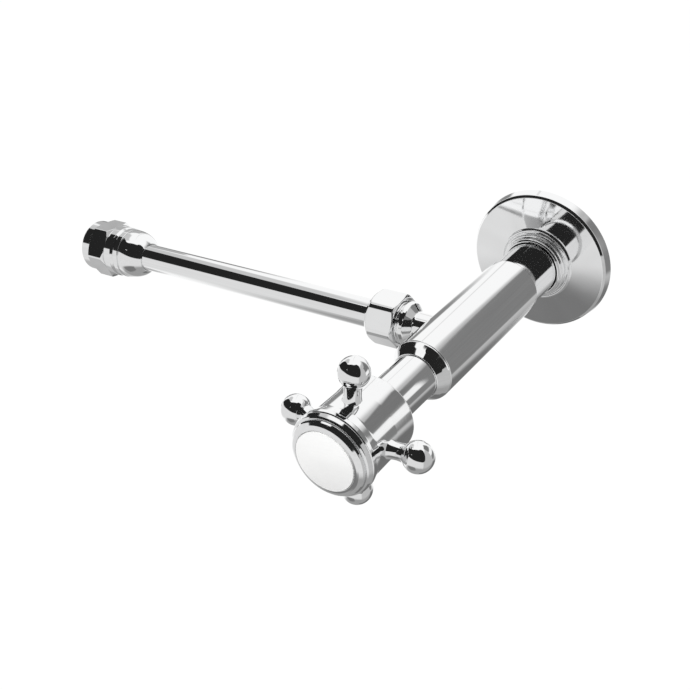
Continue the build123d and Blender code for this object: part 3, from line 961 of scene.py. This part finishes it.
def build_union_nut(sizes, finishes):
    """The captive nut: a chamfered hexagon between two round collars, threaded inside."""
    across, rounding, turn = sizes.union_nut / MM, 0.9, np.radians(54.9)
    outer, inner = span("union_nut", X)
    hex_in, hex_out = -149.9, -157.8
    collar_r = across / 2
    thread_r = sizes.pipe_thread / 2 / MM
    thread_start = -154.6
    pitch = sizes.pipe_pitch / MM
    neck_r, chamber_r = 6.75, 8.6
    face_r, past_corners, chamfer = 9.6, 11.2, 1.1
    crease, rows = 0.12, 8
    angle = hexagon_angles(across, rounding, turn)
    radius = hexagon_radius(across, rounding, turn, angle)
    collar_in = outline(
        [(inner, neck_r), (inner, 8.7, 0.15), (inner - 0.8, collar_r, 0.2), (hex_in, collar_r)],
        False,
    )
    collar_out = outline([(hex_out, collar_r), (outer, collar_r, 0.5), (outer, thread_r)], False)
    inner_end = outline(
        [(hex_in, collar_r), (hex_in, face_r, 0.03), (hex_in - chamfer, past_corners)], False
    )
    outer_end = outline(
        [(hex_out, collar_r), (hex_out, face_r, 0.03), (hex_out + chamfer, past_corners)], False
    )
    along, height = nut_rows(inner_end, outer_end, radius, crease, rows)
    bore = outline(
        [
            (outer, thread_r),
            (thread_start, thread_r, 0.05),
            (thread_start, chamber_r, 0.1),
            (hex_in, chamber_r, 0.3),
            (hex_in, neck_r, 0.1),
            (inner, neck_r),
        ],
        False,
    )
    bore = subdivided(bore, outer, thread_start, pitch / THREAD_STEPS)
    count = len(angle)
    first_along, first_height = columns_of(collar_in[:-1], count)
    last_along, last_height = columns_of(collar_out[1:-1], count)
    bore_along, bore_height = columns_of(bore[:-1], count)
    cut = thread_cut(bore_along, angle, pitch, THREAD_DEPTH * pitch, outer, thread_start)
    bore_height = bore_height - np.where(bore_along < thread_start + 0.01, cut, 0)
    along = np.vstack([first_along, along, last_along, bore_along])
    height = np.vstack([first_height, height, last_height, bore_height])
    grid = round_tube(along, height, angle)
    add_piece("captive_nut", [shell(grid)], "union", ["union_nut"], finishes["chrome_nuts"])


def build_union_washer(sizes, finishes):
    """The fibre washer in the union nut's mouth."""
    outer, inner = span("union_washer", X)
    bore_r, rim_r, edge = 4.4, 8.0, 0.25
    corners = [
        (inner, bore_r, edge),
        (inner, rim_r, edge),
        (outer, rim_r, edge),
        (outer, bore_r, edge),
    ]
    add_piece(
        "mouth_washer", [turned_side(corners)], "union", ["union_washer"], finishes["fibre"]
    )


# Finishes

MICRON = 0.000001

# Each chrome finish: the scale of its polishing lines along x, y and z, the depth of the lines
# and of the metal's wave in microns, and how much rougher its haziest patch is
CHROMES = {
    "chrome_pipe": ((30.0, 2600.0, 30.0), 1.2, 6.0, 0.05),
    "chrome_body": ((30.0, 2600.0, 30.0), 1.5, 8.0, 0.07),
    "chrome_handle": ((30.0, 3000.0, 30.0), 1.2, 8.0, 0.07),
    "chrome_arms": ((700.0, 700.0, 700.0), 0.6, 5.0, 0.03),
    "chrome_side": ((2600.0, 30.0, 30.0), 1.2, 6.0, 0.05),
    "chrome_tube": ((30.0, 1500.0, 1500.0), 0.6, 5.0, 0.03),
    "chrome_nuts": ((260.0, 1600.0, 1600.0), 0.8, 12.0, 0.05),
}

# The scales of the metal's wave and of its haze, and how much coarser the haze's marks are
WAVE_SCALE = 170.0
HAZE_SCALE = 240.0
MARKS_SHARE = 0.35
HAZE_START, HAZE_END = 0.12, 0.45


def feed(tree, socket, value):
    """Links another node's output to a socket, or sets a plain value on it."""
    if isinstance(value, bpy.types.NodeSocket):
        tree.links.new(value, socket)
    else:
        socket.default_value = value


def put(tree, kind, settings=None, **sockets):
    """Adds a shader node; a socket takes a value or another node's output."""
    made = tree.nodes.new(kind)
    for name, value in (settings or {}).items():
        setattr(made, name, value)
    for name, value in sockets.items():
        feed(tree, made.inputs[name.replace("_", " ")], value)
    return made


def combined(tree, operation, first, second):
    """Two values joined by an operation."""
    made = put(tree, "ShaderNodeMath", {"operation": operation})
    feed(tree, made.inputs[0], first)
    feed(tree, made.inputs[1], second)
    return made.outputs[0]


def tinted(tree, factor, tint, change):
    """A tint that is multiplied by a change where the factor is 1."""
    made = put(tree, "ShaderNodeMix", {"data_type": "RGBA"}, Factor=factor)
    made.inputs[6].default_value = (*tint, 1)
    made.inputs[7].default_value = (*(change * part for part in tint), 1)
    return made.outputs[2]


def between(tree, factor, first, second):
    """A shader that goes from the first one to the second as the factor goes from 0 to 1."""
    made = put(tree, "ShaderNodeMixShader", Fac=factor)
    feed(tree, made.inputs[1], first.outputs[0])
    feed(tree, made.inputs[2], second.outputs[0])
    return made


def relief(tree, height, microns, **sockets):
    """A normal bent by a height whose full range is a number of microns."""
    depth = microns * MICRON
    return put(tree, "ShaderNodeBump", Strength=1.0, Distance=depth, Height=height, **sockets).outputs[0]


def new_finish(name):
    """A material with an empty tree, and the tree's object coordinates."""
    material = bpy.data.materials.new(name)
    material.use_nodes = True
    tree = material.node_tree
    tree.nodes.clear()
    return material, tree, put(tree, "ShaderNodeTexCoord").outputs["Object"]


def close_finish(tree, shader):
    """Joins a shader to the material's output."""
    tree.links.new(shader.outputs[0], put(tree, "ShaderNodeOutputMaterial").inputs["Surface"])


def noise(tree, place, scale, detail, stretch=(1.0, 1.0, 1.0), turn=(0.0, 0.0, 0.0)):
    """Noise in the object's space, stretched along its axes."""
    moved = put(tree, "ShaderNodeMapping", Vector=place, Scale=stretch, Rotation=turn).outputs[0]
    return put(tree, "ShaderNodeTexNoise", Vector=moved, Scale=scale, Detail=detail).outputs[0]


def ranged(tree, value, low, high, start=0.3, end=0.7):
    """A value mapped from start to end onto low to high."""
    return put(
        tree, "ShaderNodeMapRange", Value=value, From_Min=start, From_Max=end, To_Min=low, To_Max=high
    ).outputs[0]


def chrome_finish(name, look, lines_scale, line_depth, wave_depth, haze_spread):
    """Polished plating: fine polishing lines, a slight wave of the metal and patches of haze."""
    material, tree, place = new_finish(name)
    lines = noise(tree, place, 1.0, 3.0, lines_scale)
    wave = noise(tree, place, WAVE_SCALE, 1.0)
    haze = noise(tree, place, HAZE_SCALE, 4.0)
    marks = noise(tree, place, 1.0, 2.0, tuple(MARKS_SHARE * scale for scale in lines_scale))
    blurred = combined(tree, "MULTIPLY", haze, marks)
    roughest = look.haze + haze_spread
    roughness = ranged(tree, blurred, look.haze, roughest, HAZE_START, HAZE_END)
    normal = relief(tree, wave, wave_depth, Normal=relief(tree, lines, line_depth))
    shader = put(
        tree, "ShaderNodeBsdfPrincipled", Base_Color=(*look.chrome, 1), Metallic=1.0,
        Roughness=roughness, Normal=normal,
    )
    close_finish(tree, shader)
    return material


def ceramic_finish(look):
    """White glaze with a barely uneven surface over a matt body."""
    material, tree, place = new_finish("white_glaze")
    dips = noise(tree, place, 320.0, 2.0)
    cloud = noise(tree, place, 130.0, 3.0)
    shader = put(
        tree, "ShaderNodeBsdfPrincipled",
        Base_Color=tinted(tree, ranged(tree, cloud, 0.0, 1.0), look.ceramic, 0.985),
        Roughness=ranged(tree, dips, 0.05, 0.1), Normal=relief(tree, dips, 0.6),
        Coat_Weight=0.6, Coat_Roughness=0.03,
    )
    close_finish(tree, shader)
    return material


def brass_finish(look):
    """Turned brass with rings of tool marks and darker patches."""
    material, tree, place = new_finish("turned_brass")
    rings = noise(tree, place, 1.0, 2.0, (60.0, 5200.0, 60.0))
    patches = noise(tree, place, 150.0, 4.0)
    shader = put(
        tree, "ShaderNodeBsdfPrincipled",
        Base_Color=tinted(tree, ranged(tree, patches, 0.0, 1.0), look.brass, 0.7), Metallic=1.0,
        Roughness=ranged(tree, rings, 0.2, 0.38), Normal=relief(tree, rings, 30.0),
    )
    close_finish(tree, shader)
    return material


def steel_finish(look):
    """Stamped steel with a fine brushed grain."""
    material, tree, place = new_finish("spring_steel")
    grain = noise(tree, place, 1.0, 2.0, (4000.0, 300.0, 4000.0))
    stain = noise(tree, place, 260.0, 3.0)
    shader = put(
        tree, "ShaderNodeBsdfPrincipled",
        Base_Color=tinted(tree, ranged(tree, stain, 0.0, 1.0), look.steel, 0.8), Metallic=1.0,
        Roughness=ranged(tree, grain, 0.22, 0.4), Normal=relief(tree, grain, 10.0),
    )
    close_finish(tree, shader)
    return material


def rubber_finish(look):
    """Moulded rubber with a dusty bloom."""
    material, tree, place = new_finish("seal_rubber")
    bloom = noise(tree, place, 420.0, 5.0)
    shader = put(
        tree, "ShaderNodeBsdfPrincipled",
        Base_Color=tinted(tree, ranged(tree, bloom, 0.0, 1.0), look.rubber, 2.6),
        Roughness=ranged(tree, bloom, 0.5, 0.75), Normal=relief(tree, bloom, 20.0),
    )
    close_finish(tree, shader)
    return material


def fibre_finish(look):
    """Pressed red fibre: short strands and specks."""
    material, tree, place = new_finish("pressed_fibre")
    strands = noise(tree, place, 1.0, 4.0, (500.0, 2600.0, 700.0), (0.4, 0.2, 0.3))
    specks = noise(tree, place, 2200.0, 2.0)
    shader = put(
        tree, "ShaderNodeBsdfPrincipled",
        Base_Color=tinted(tree, ranged(tree, strands, 0.0, 1.0), look.fibre, 1.5),
        Roughness=ranged(tree, strands, 0.65, 0.9), Normal=relief(tree, specks, 60.0),
    )
    close_finish(tree, shader)
    return material


def all_finishes():
    """Every finish by name, made once."""
    look = bpy.context.scene.valve_finish
    made = {}
    for name, settings in CHROMES.items():
        made[name] = bpy.data.materials.get(name) or chrome_finish(name, look, *settings)
    others = {
        "ceramic": ("white_glaze", ceramic_finish),
        "brass": ("turned_brass", brass_finish),
        "steel": ("spring_steel", steel_finish),
        "rubber": ("seal_rubber", rubber_finish),
        "fibre": ("pressed_fibre", fibre_finish),
    }
    for key, (name, make) in others.items():
        made[key] = bpy.data.materials.get(name) or make(look)
    return made


def dress_inner_pieces(finishes):
    """Gives the CAD nodes inside the valve their finishes."""
    groups = {
        "brass": ("bonnet", "spindle", "jumper", "jumper_nut", "olive"),
        "steel": ("spindle_circlip", "handle_screw", "handle_screw_washer", "union_circlip"),
        "rubber": (
            "flange_o_ring", "spindle_o_rings", "index_o_ring", "jumper_washer", "bonnet_washer",
        ),
    }
    for key, nodes in groups.items():
        for node in nodes:
            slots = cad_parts[node].material_slots
            if not slots:
                raise RuntimeError(f"{node} has no material slot")
            for one in slots:
                one.material = finishes[key]


# Studio

# Each card: name, tone as displayed from 0 to 1, softness of its edge in degrees, and its
# stations (azimuth, lower elevation, upper elevation) in degrees. Azimuth 0 is the room's side,
# and 90 is towards +X. A later card stands in front of an earlier one.
CARDS = (
    ("front_sheet", 0.88, 14, (
        (-100, -42, 20), (-60, -48, 45), (0, -52, 52), (50, -52, 48), (85, -48, 44), (115, -40, 44),
    )),
    ("right_side", 0.74, 10, (
        (58, -50, 0), (80, -58, 40), (110, -58, 52), (134, -50, 50), (168, -46, 46),
    )),
    ("table", 0.62, 18, (
        (-180, -90, -30), (-150, -90, -34), (-125, -90, -46), (-85, -90, -45), (-60, -90, -37),
        (-35, -90, -27), (0, -90, -27), (45, -90, -34), (90, -90, -38), (135, -90, -24),
        (180, -90, -30),
    )),
    ("table_far", 0.44, 8, ((128, -88, -26), (150, -88, -31), (180, -88, -35), (207, -88, -33))),
    ("near_shade", 0.47, 9, ((-42, -62, -33), (-25, -66, -28), (0, -66, -28), (18, -60, -34))),
    ("upper_left", 0.79, 8, ((-130, 30, 54), (-110, 26, 64), (-90, 38, 70), (-74, 48, 74))),
    ("rear_left", 0.54, 6, ((-147, -20, 12), (-134, -22, 15), (-118, -20, 16))),
    ("rear_right", 0.5, 4, (
        (124, -20, 30), (134, -26, 34), (143, -26, 36), (152, -20, 38), (160, -12, 34),
    )),
    ("sheet_seam", 0.88, 1.6, ((-155, 16, 80), (-151.4, 16, 80))),
    ("dark_opening", 0.14, 1.2, (
        (-106, -6, 32), (-96, 1, 46), (-80, 8, 56), (-60, 14, 62), (-33, 18.5, 74), (-6, 15, 79),
        (20, 8, 80), (45, 0, 78), (60, -5, 76), (72, -2, 74), (82, 18, 73), (94, 42, 71), (102, 52, 66),
    )),
    ("window", 1.0, 0.6, ((-23, 38.5, 40.5), (-12, 38, 40))),
)

# Cards that stand so near that only the pieces beside them mirror them: the node they are
# placed about, their distance in metres, name, tone, softness and stations
NEAR_CARDS = (
    ("handle_hub", 0.068, "hub_white", 0.97, 4, ((112, -2, 17), (130, -3, 18), (149, -2, 17))),
    ("handle_hub", 0.066, "hub_grey", 0.47, 4, ((112, 18, 44), (130, 19, 45), (152, 18, 44))),
    ("body_cap", 0.03, "nose_white", 1.0, 3, ((-66, 66, 82), (-15, 65, 84), (34, 66, 82))),
    ("union_nut", 0.06, "nut_grey", 0.7, 5, ((-172, 6, 44), (-146, 4, 46), (-122, 6, 44))),
    ("union_nut", 0.058, "nut_table", 0.72, 10, ((-125, -76, -28), (-84, -78, -26), (-45, -76, -30))),
)

# How much nearer each card stands than the one behind it, as a share of their distance
CARD_STEP = 0.02

# How many clouds of mottle a card has over its distance, and how strong they are
CLOUDS = 14.0
MOTTLE = 0.05

# A card's grid, its least height, and the steepest direction that it reaches, in degrees
CARD_COLUMNS, CARD_ROWS = 160, 48
LEAST_HEIGHT = 0.001
STEEPEST = 89.9

# A card that is wholly lower than this closes under the valve, and one longer round than this
# closes on itself, so neither fades there
FOOT = -80
WHOLE_TURN = 359

# How the floor is seen: the strength of its white, and its share beside the lit surface
FLOOR_WHITE = 1.04
FLOOR_SHARE = 0.94

# The lamps' places and size in metres, and the fill lamp's power as a share of the key lamp's
KEY_PLACE = (-0.5, -0.9, 1.1)
FILL_PLACE = (1.0, -0.5, 0.5)
LAMP_SIZE = 0.9
FILL_SHARE = 0.35


def displayed(tone):
    """The linear strength of a displayed tone from 0 to 1."""
    return tone / 12.92 if tone < 0.04045 else ((tone + 0.055) / 1.055) ** 2.4


def smooth_path(stations, count):
    """Points along a smooth curve through the stations.

    Between stations b and c, with a before and d after, it is the Catmull-Rom cubic
    (2b + (c - a) t + (2a - 5b + 4c - d) t^2 + (3b - a - 3c + d) t^3) / 2.
    """
    points = np.array(stations, float)
    ends = np.vstack([2 * points[0] - points[1], points, 2 * points[-1] - points[-2]])
    place = np.linspace(0, len(points) - 1, count)
    first = np.minimum(place.astype(int), len(points) - 2)
    t = (place - first)[:, None]
    a, b, c, d = (ends[first + offset] for offset in range(4))
    return (2 * b + (c - a) * t + (2 * a - 5 * b + 4 * c - d) * t**2 + (3 * b - a - 3 * c + d) * t**3) / 2


def card_material(name, tone, distance):
    """An even glow that fades out by the card's own edge attribute."""
    material, tree, place = new_finish(name)
    level = displayed(tone)
    edge = put(tree, "ShaderNodeAttribute", {"attribute_name": "edge"}).outputs["Fac"]
    cloud = noise(tree, place, CLOUDS / distance, 5.0)
    strength = ranged(tree, cloud, level * (1 - MOTTLE), level * (1 + MOTTLE))
    glow = put(tree, "ShaderNodeEmission", Color=(1, 1, 1, 1), Strength=strength)
    clear = put(tree, "ShaderNodeBsdfTransparent")
    close_finish(tree, between(tree, edge, clear, glow))
    return material


def card_surface(stations, softness, centre, distance):
    """Points of a curved card on a ball round a centre, and how solid the card is at each.

    At (u, v) it is the direction whose azimuth follows the stations' curve at u and whose
    elevation runs from the lower to the upper one at v. How solid it is falls from 1 to 0 over
    the softness at its edges, as 3 t^2 - 2 t^3.
    """
    path = smooth_path(stations, CARD_COLUMNS)
    v = np.linspace(0, 1, CARD_ROWS)[:, None]
    azimuth = np.radians(path[:, 0])[None, :]
    low, high = path[:, 1][None, :], path[:, 2][None, :]
    tall = np.maximum(high - low, LEAST_HEIGHT)
    elevation = np.radians(np.clip(low + tall * v, -STEEPEST, STEEPEST))
    away = distance * np.stack(
        np.broadcast_arrays(
            np.sin(azimuth) * np.cos(elevation),
            -np.cos(azimuth) * np.cos(elevation),
            np.sin(elevation),
        ),
        -1,
    )
    nearest = (1 - v if low.max() < FOOT else np.minimum(v, 1 - v)) * tall
    if path[-1, 0] - path[0, 0] < WHOLE_TURN:
        from_sides = np.minimum(path[:, 0] - path[0, 0], path[-1, 0] - path[:, 0])[None, :]
        nearest = np.minimum(nearest, from_sides)
    t = np.clip(nearest / softness, 0, 1)
    return away + np.array(centre), t * t * (3 - 2 * t)


def add_card(name, tone, softness, stations, centre, distance):
    """Adds a curved card that only reflections see."""
    points, solid = card_surface(stations, softness, centre, distance)
    row = np.arange(CARD_ROWS - 1)[:, None] * CARD_COLUMNS
    first = row + np.arange(CARD_COLUMNS - 1)[None, :]
    faces = np.stack([first, first + 1, first + CARD_COLUMNS + 1, first + CARD_COLUMNS], -1)
    mesh = bpy.data.meshes.new(name)
    mesh.from_pydata(points.reshape(-1, 3), [], faces.reshape(-1, 4))
    mesh.attributes.new("edge", "FLOAT", "POINT")
    mesh.attributes["edge"].data.foreach_set("value", solid.astype(np.float32).ravel())
    mesh.shade_smooth()
    mesh.materials.append(card_material(name, tone, distance))
    card = bpy.data.objects.new(name, mesh)
    bpy.context.scene.collection.objects.link(card)
    card.visible_camera = False
    card.visible_diffuse = False
    card.visible_shadow = False
    card.visible_transmission = False


def seen_directly(tree):
    """1 for rays from the camera and for mirror and glass rays, and 0 for the rest."""
    path = put(tree, "ShaderNodeLightPath")
    seen = path.outputs["Is Camera Ray"]
    for ray in ("Is Glossy Ray", "Is Transmission Ray"):
        seen = combined(tree, "MAXIMUM", seen, path.outputs[ray])
    return seen


def add_floor(studio):
    """A wide pale floor, white to the eye, that still takes a faint shadow."""
    half = studio.floor_size / 2
    level = -studio.floor_drop
    mesh = bpy.data.meshes.new("floor")
    corners = [(-half, -half, level), (half, -half, level), (half, half, level), (-half, half, level)]
    mesh.from_pydata(corners, [], [(0, 1, 2, 3)])
    floor = bpy.data.objects.new("floor", mesh)
    bpy.context.scene.collection.objects.link(floor)
    material, tree, place = new_finish("pale_floor")
    grain = noise(tree, place, 40.0, 3.0)
    matt = put(
        tree, "ShaderNodeBsdfPrincipled", Base_Color=(0.9, 0.9, 0.9, 1),
        Roughness=ranged(tree, grain, 0.7, 0.9), Specular_IOR_Level=0.1,
    )
    white = put(tree, "ShaderNodeEmission", Color=(1, 1, 1, 1), Strength=FLOOR_WHITE)
    part = combined(tree, "MULTIPLY", seen_directly(tree), FLOOR_SHARE)
    close_finish(tree, between(tree, part, matt, white))
    mesh.materials.append(material)


def set_world(studio):
    """White where it is seen or mirrored, and an even light elsewhere."""
    world = bpy.data.worlds.new("studio_world")
    world.use_nodes = True
    tree = world.node_tree
    tree.nodes.clear()
    white = put(tree, "ShaderNodeBackground", Color=(1, 1, 1, 1), Strength=1.0)
    light = put(tree, "ShaderNodeBackground", Color=(1, 1, 1, 1), Strength=studio.sky)
    mixed = between(tree, seen_directly(tree), light, white)
    put(tree, "ShaderNodeOutputWorld", Surface=mixed.outputs[0])
    bpy.context.scene.world = world


def add_lamp(name, place, target, size, power):
    """A soft square lamp that mirrors don't show."""
    data = bpy.data.lights.new(name, "AREA")
    data.shape = "SQUARE"
    data.size = size
    data.energy = power
    lamp = bpy.data.objects.new(name, data)
    bpy.context.scene.collection.objects.link(lamp)
    back = Vector(place) - Vector(target)
    lamp.matrix_world = Matrix.Translation(place) @ back.to_track_quat("Z", "Y").to_matrix().to_4x4()
    lamp.visible_glossy = False
    lamp.visible_camera = False


# The camera's place in metres and its axes, found from the photograph's perspective
CAMERA_PLACE = (0.16163, -0.33514, 0.18855)
CAMERA_RIGHT = (0.82414, 0.55977, -0.08630)
CAMERA_UP = (-0.22658, 0.46549, 0.85556)
CAMERA_BACK = (0.51909, -0.68555, 0.51047)


def add_camera(studio):
    """The camera, with its axes as the columns of its matrix."""
    data = bpy.data.cameras.new("camera")
    data.lens = studio.focal
    data.sensor_width = 36.0
    data.clip_start = 0.01
    camera = bpy.data.objects.new("camera", data)
    bpy.context.scene.collection.objects.link(camera)
    axes = Matrix((CAMERA_RIGHT, CAMERA_UP, CAMERA_BACK)).transposed().to_4x4()
    camera.matrix_world = Matrix.Translation(CAMERA_PLACE) @ axes
    bpy.context.scene.camera = camera


def build_stage(studio):
    """Floor, world, reflected cards, lamps and camera."""
    add_floor(studio)
    set_world(studio)
    middle = (Vector(CAD_BOX[0]) + Vector(CAD_BOX[1])) / 2
    for number, (name, tone, softness, stations) in enumerate(CARDS):
        distance = studio.card_distance * (1 - CARD_STEP * number)
        add_card(name, tone, softness, stations, middle, distance)
    for node, distance, name, tone, softness, stations in NEAR_CARDS:
        low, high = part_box(node)
        add_card(name, tone, softness, stations, (Vector(low) + Vector(high)) / 2, distance)
    add_lamp("key_lamp", KEY_PLACE, middle, LAMP_SIZE, studio.key)
    add_lamp("fill_lamp", FILL_PLACE, middle, LAMP_SIZE, studio.key * FILL_SHARE)
    add_camera(studio)
    bpy.context.scene.view_settings.view_transform = "Standard"


# Operators

class VALVE_OT_inlet_tail(bpy.types.Operator):
    """Build the pipe from the wall"""

    bl_idname = "valve.inlet_tail"
    bl_label = "Pipe from the wall"
    bl_options = {"REGISTER", "UNDO"}

    def execute(self, context):
        build_inlet_tail(context.scene.valve_sizes, all_finishes())
        return {"FINISHED"}


class VALVE_OT_wall_flange(bpy.types.Operator):
    """Build the sliding wall flange"""

    bl_idname = "valve.wall_flange"
    bl_label = "Wall flange"
    bl_options = {"REGISTER", "UNDO"}

    def execute(self, context):
        build_wall_flange(context.scene.valve_sizes, all_finishes())
        return {"FINISHED"}


class VALVE_OT_valve_body(bpy.types.Operator):
    """Build the tube body"""

    bl_idname = "valve.valve_body"
    bl_label = "Body"
    bl_options = {"REGISTER", "UNDO"}

    def execute(self, context):
        build_valve_body(context.scene.valve_sizes, all_finishes())
        return {"FINISHED"}


class VALVE_OT_outlet_spigot(bpy.types.Operator):
    """Build the threaded stub in the body's side"""

    bl_idname = "valve.outlet_spigot"
    bl_label = "Side stub"
    bl_options = {"REGISTER", "UNDO"}

    def execute(self, context):
        build_outlet_spigot(context.scene.valve_sizes, all_finishes())
        return {"FINISHED"}


class VALVE_OT_body_cap(bpy.types.Operator):
    """Build the nose ring in front of the body"""

    bl_idname = "valve.body_cap"
    bl_label = "Nose ring"
    bl_options = {"REGISTER", "UNDO"}

    def execute(self, context):
        build_body_cap(context.scene.valve_sizes, all_finishes())
        return {"FINISHED"}


class VALVE_OT_shroud(bpy.types.Operator):
    """Build the sleeve round the spindle"""

    bl_idname = "valve.shroud"
    bl_label = "Sleeve"
    bl_options = {"REGISTER", "UNDO"}

    def execute(self, context):
        build_shroud(context.scene.valve_sizes, all_finishes())
        return {"FINISHED"}


class VALVE_OT_handle_hub(bpy.types.Operator):
    """Build the handle's hub"""

    bl_idname = "valve.handle_hub"
    bl_label = "Hub"
    bl_options = {"REGISTER", "UNDO"}

    def execute(self, context):
        build_handle_hub(context.scene.valve_sizes, all_finishes())
        return {"FINISHED"}


class VALVE_OT_handle_arms(bpy.types.Operator):
    """Build the four arms with their balls"""

    bl_idname = "valve.handle_arms"
    bl_label = "Arms"
    bl_options = {"REGISTER", "UNDO"}

    def execute(self, context):
        build_handle_arms(context.scene.valve_sizes, all_finishes())
        return {"FINISHED"}


class VALVE_OT_index_cap(bpy.types.Operator):
    """Build the handle's head ring"""

    bl_idname = "valve.index_cap"
    bl_label = "Head ring"
    bl_options = {"REGISTER", "UNDO"}

    def execute(self, context):
        build_index_cap(context.scene.valve_sizes, all_finishes())
        return {"FINISHED"}


class VALVE_OT_ceramic_index(bpy.types.Operator):
    """Build the white button"""

    bl_idname = "valve.ceramic_index"
    bl_label = "Button"
    bl_options = {"REGISTER", "UNDO"}

    def execute(self, context):
        build_ceramic_index(context.scene.valve_sizes, all_finishes())
        return {"FINISHED"}


class VALVE_OT_supply_tube(bpy.types.Operator):
    """Build the side tube"""

    bl_idname = "valve.supply_tube"
    bl_label = "Side tube"
    bl_options = {"REGISTER", "UNDO"}

    def execute(self, context):
        build_supply_tube(context.scene.valve_sizes, all_finishes())
        return {"FINISHED"}


class VALVE_OT_compression_nut(bpy.types.Operator):
    """Build the tube nut"""

    bl_idname = "valve.compression_nut"
    bl_label = "Tube nut"
    bl_options = {"REGISTER", "UNDO"}

    def execute(self, context):
        build_compression_nut(context.scene.valve_sizes, all_finishes())
        return {"FINISHED"}


class VALVE_OT_tail_cap(bpy.types.Operator):
    """Build the tube's domed end"""

    bl_idname = "valve.tail_cap"
    bl_label = "Domed end"
    bl_options = {"REGISTER", "UNDO"}

    def execute(self, context):
        build_tail_cap(context.scene.valve_sizes, all_finishes())
        return {"FINISHED"}


class VALVE_OT_union_nut(bpy.types.Operator):
    """Build the captive union nut"""

    bl_idname = "valve.union_nut"
    bl_label = "Union nut"
    bl_options = {"REGISTER", "UNDO"}

    def execute(self, context):
        build_union_nut(context.scene.valve_sizes, all_finishes())
        return {"FINISHED"}


class VALVE_OT_union_washer(bpy.types.Operator):
    """Build the washer in the union nut"""

    bl_idname = "valve.union_washer"
    bl_label = "Union washer"
    bl_options = {"REGISTER", "UNDO"}

    def execute(self, context):
        build_union_washer(context.scene.valve_sizes, all_finishes())
        return {"FINISHED"}


class VALVE_OT_inner_pieces(bpy.types.Operator):
    """Give the pieces inside the valve their finishes"""

    bl_idname = "valve.inner_pieces"
    bl_label = "Inner pieces"
    bl_options = {"REGISTER", "UNDO"}

    def execute(self, context):
        dress_inner_pieces(all_finishes())
        return {"FINISHED"}


class VALVE_OT_stage(bpy.types.Operator):
    """Build the floor, the studio and the camera"""

    bl_idname = "valve.stage"
    bl_label = "Studio"
    bl_options = {"REGISTER", "UNDO"}

    def execute(self, context):
        build_stage(context.scene.valve_studio)
        return {"FINISHED"}


OPERATORS = (
    VALVE_OT_inlet_tail,
    VALVE_OT_wall_flange,
    VALVE_OT_valve_body,
    VALVE_OT_outlet_spigot,
    VALVE_OT_body_cap,
    VALVE_OT_shroud,
    VALVE_OT_handle_hub,
    VALVE_OT_handle_arms,
    VALVE_OT_index_cap,
    VALVE_OT_ceramic_index,
    VALVE_OT_supply_tube,
    VALVE_OT_compression_nut,
    VALVE_OT_tail_cap,
    VALVE_OT_union_nut,
    VALVE_OT_union_washer,
    VALVE_OT_inner_pieces,
    VALVE_OT_stage,
)
GROUPS = {"valve_sizes": ValveSizes, "valve_finish": ValveFinish, "valve_studio": ValveStudio}


class VALVE_PT_panel(bpy.types.Panel):
    """Lists the valve's sizes, finishes and building steps."""

    bl_idname = "VALVE_PT_panel"
    bl_label = "Isolation valve"
    bl_space_type = "VIEW_3D"
    bl_region_type = "UI"
    bl_category = "Valve"

    def draw(self, context):
        """Draws a box for each group of properties, then a button for each step."""
        for attribute, group in GROUPS.items():
            box = self.layout.box()
            settings = getattr(context.scene, attribute)
            for name in group.__annotations__:
                box.prop(settings, name)
        for operator in OPERATORS:
            self.layout.operator(operator.bl_idname)


def register():
    """Registers the classes and gives the scene its groups of properties."""
    for one in (*GROUPS.values(), *OPERATORS, VALVE_PT_panel):
        bpy.utils.register_class(one)
    for attribute, group in GROUPS.items():
        setattr(bpy.types.Scene, attribute, bpy.props.PointerProperty(type=group))


def unregister():
    """Takes away the groups of properties and the classes."""
    for attribute in GROUPS:
        delattr(bpy.types.Scene, attribute)
    for one in reversed((*GROUPS.values(), *OPERATORS, VALVE_PT_panel)):
        bpy.utils.unregister_class(one)


def main():
    """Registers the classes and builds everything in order."""
    register()
    for operator in OPERATORS:
        group, name = operator.bl_idname.split(".")
        getattr(getattr(bpy.ops, group), name)()


if __name__ == "__main__":
    main()
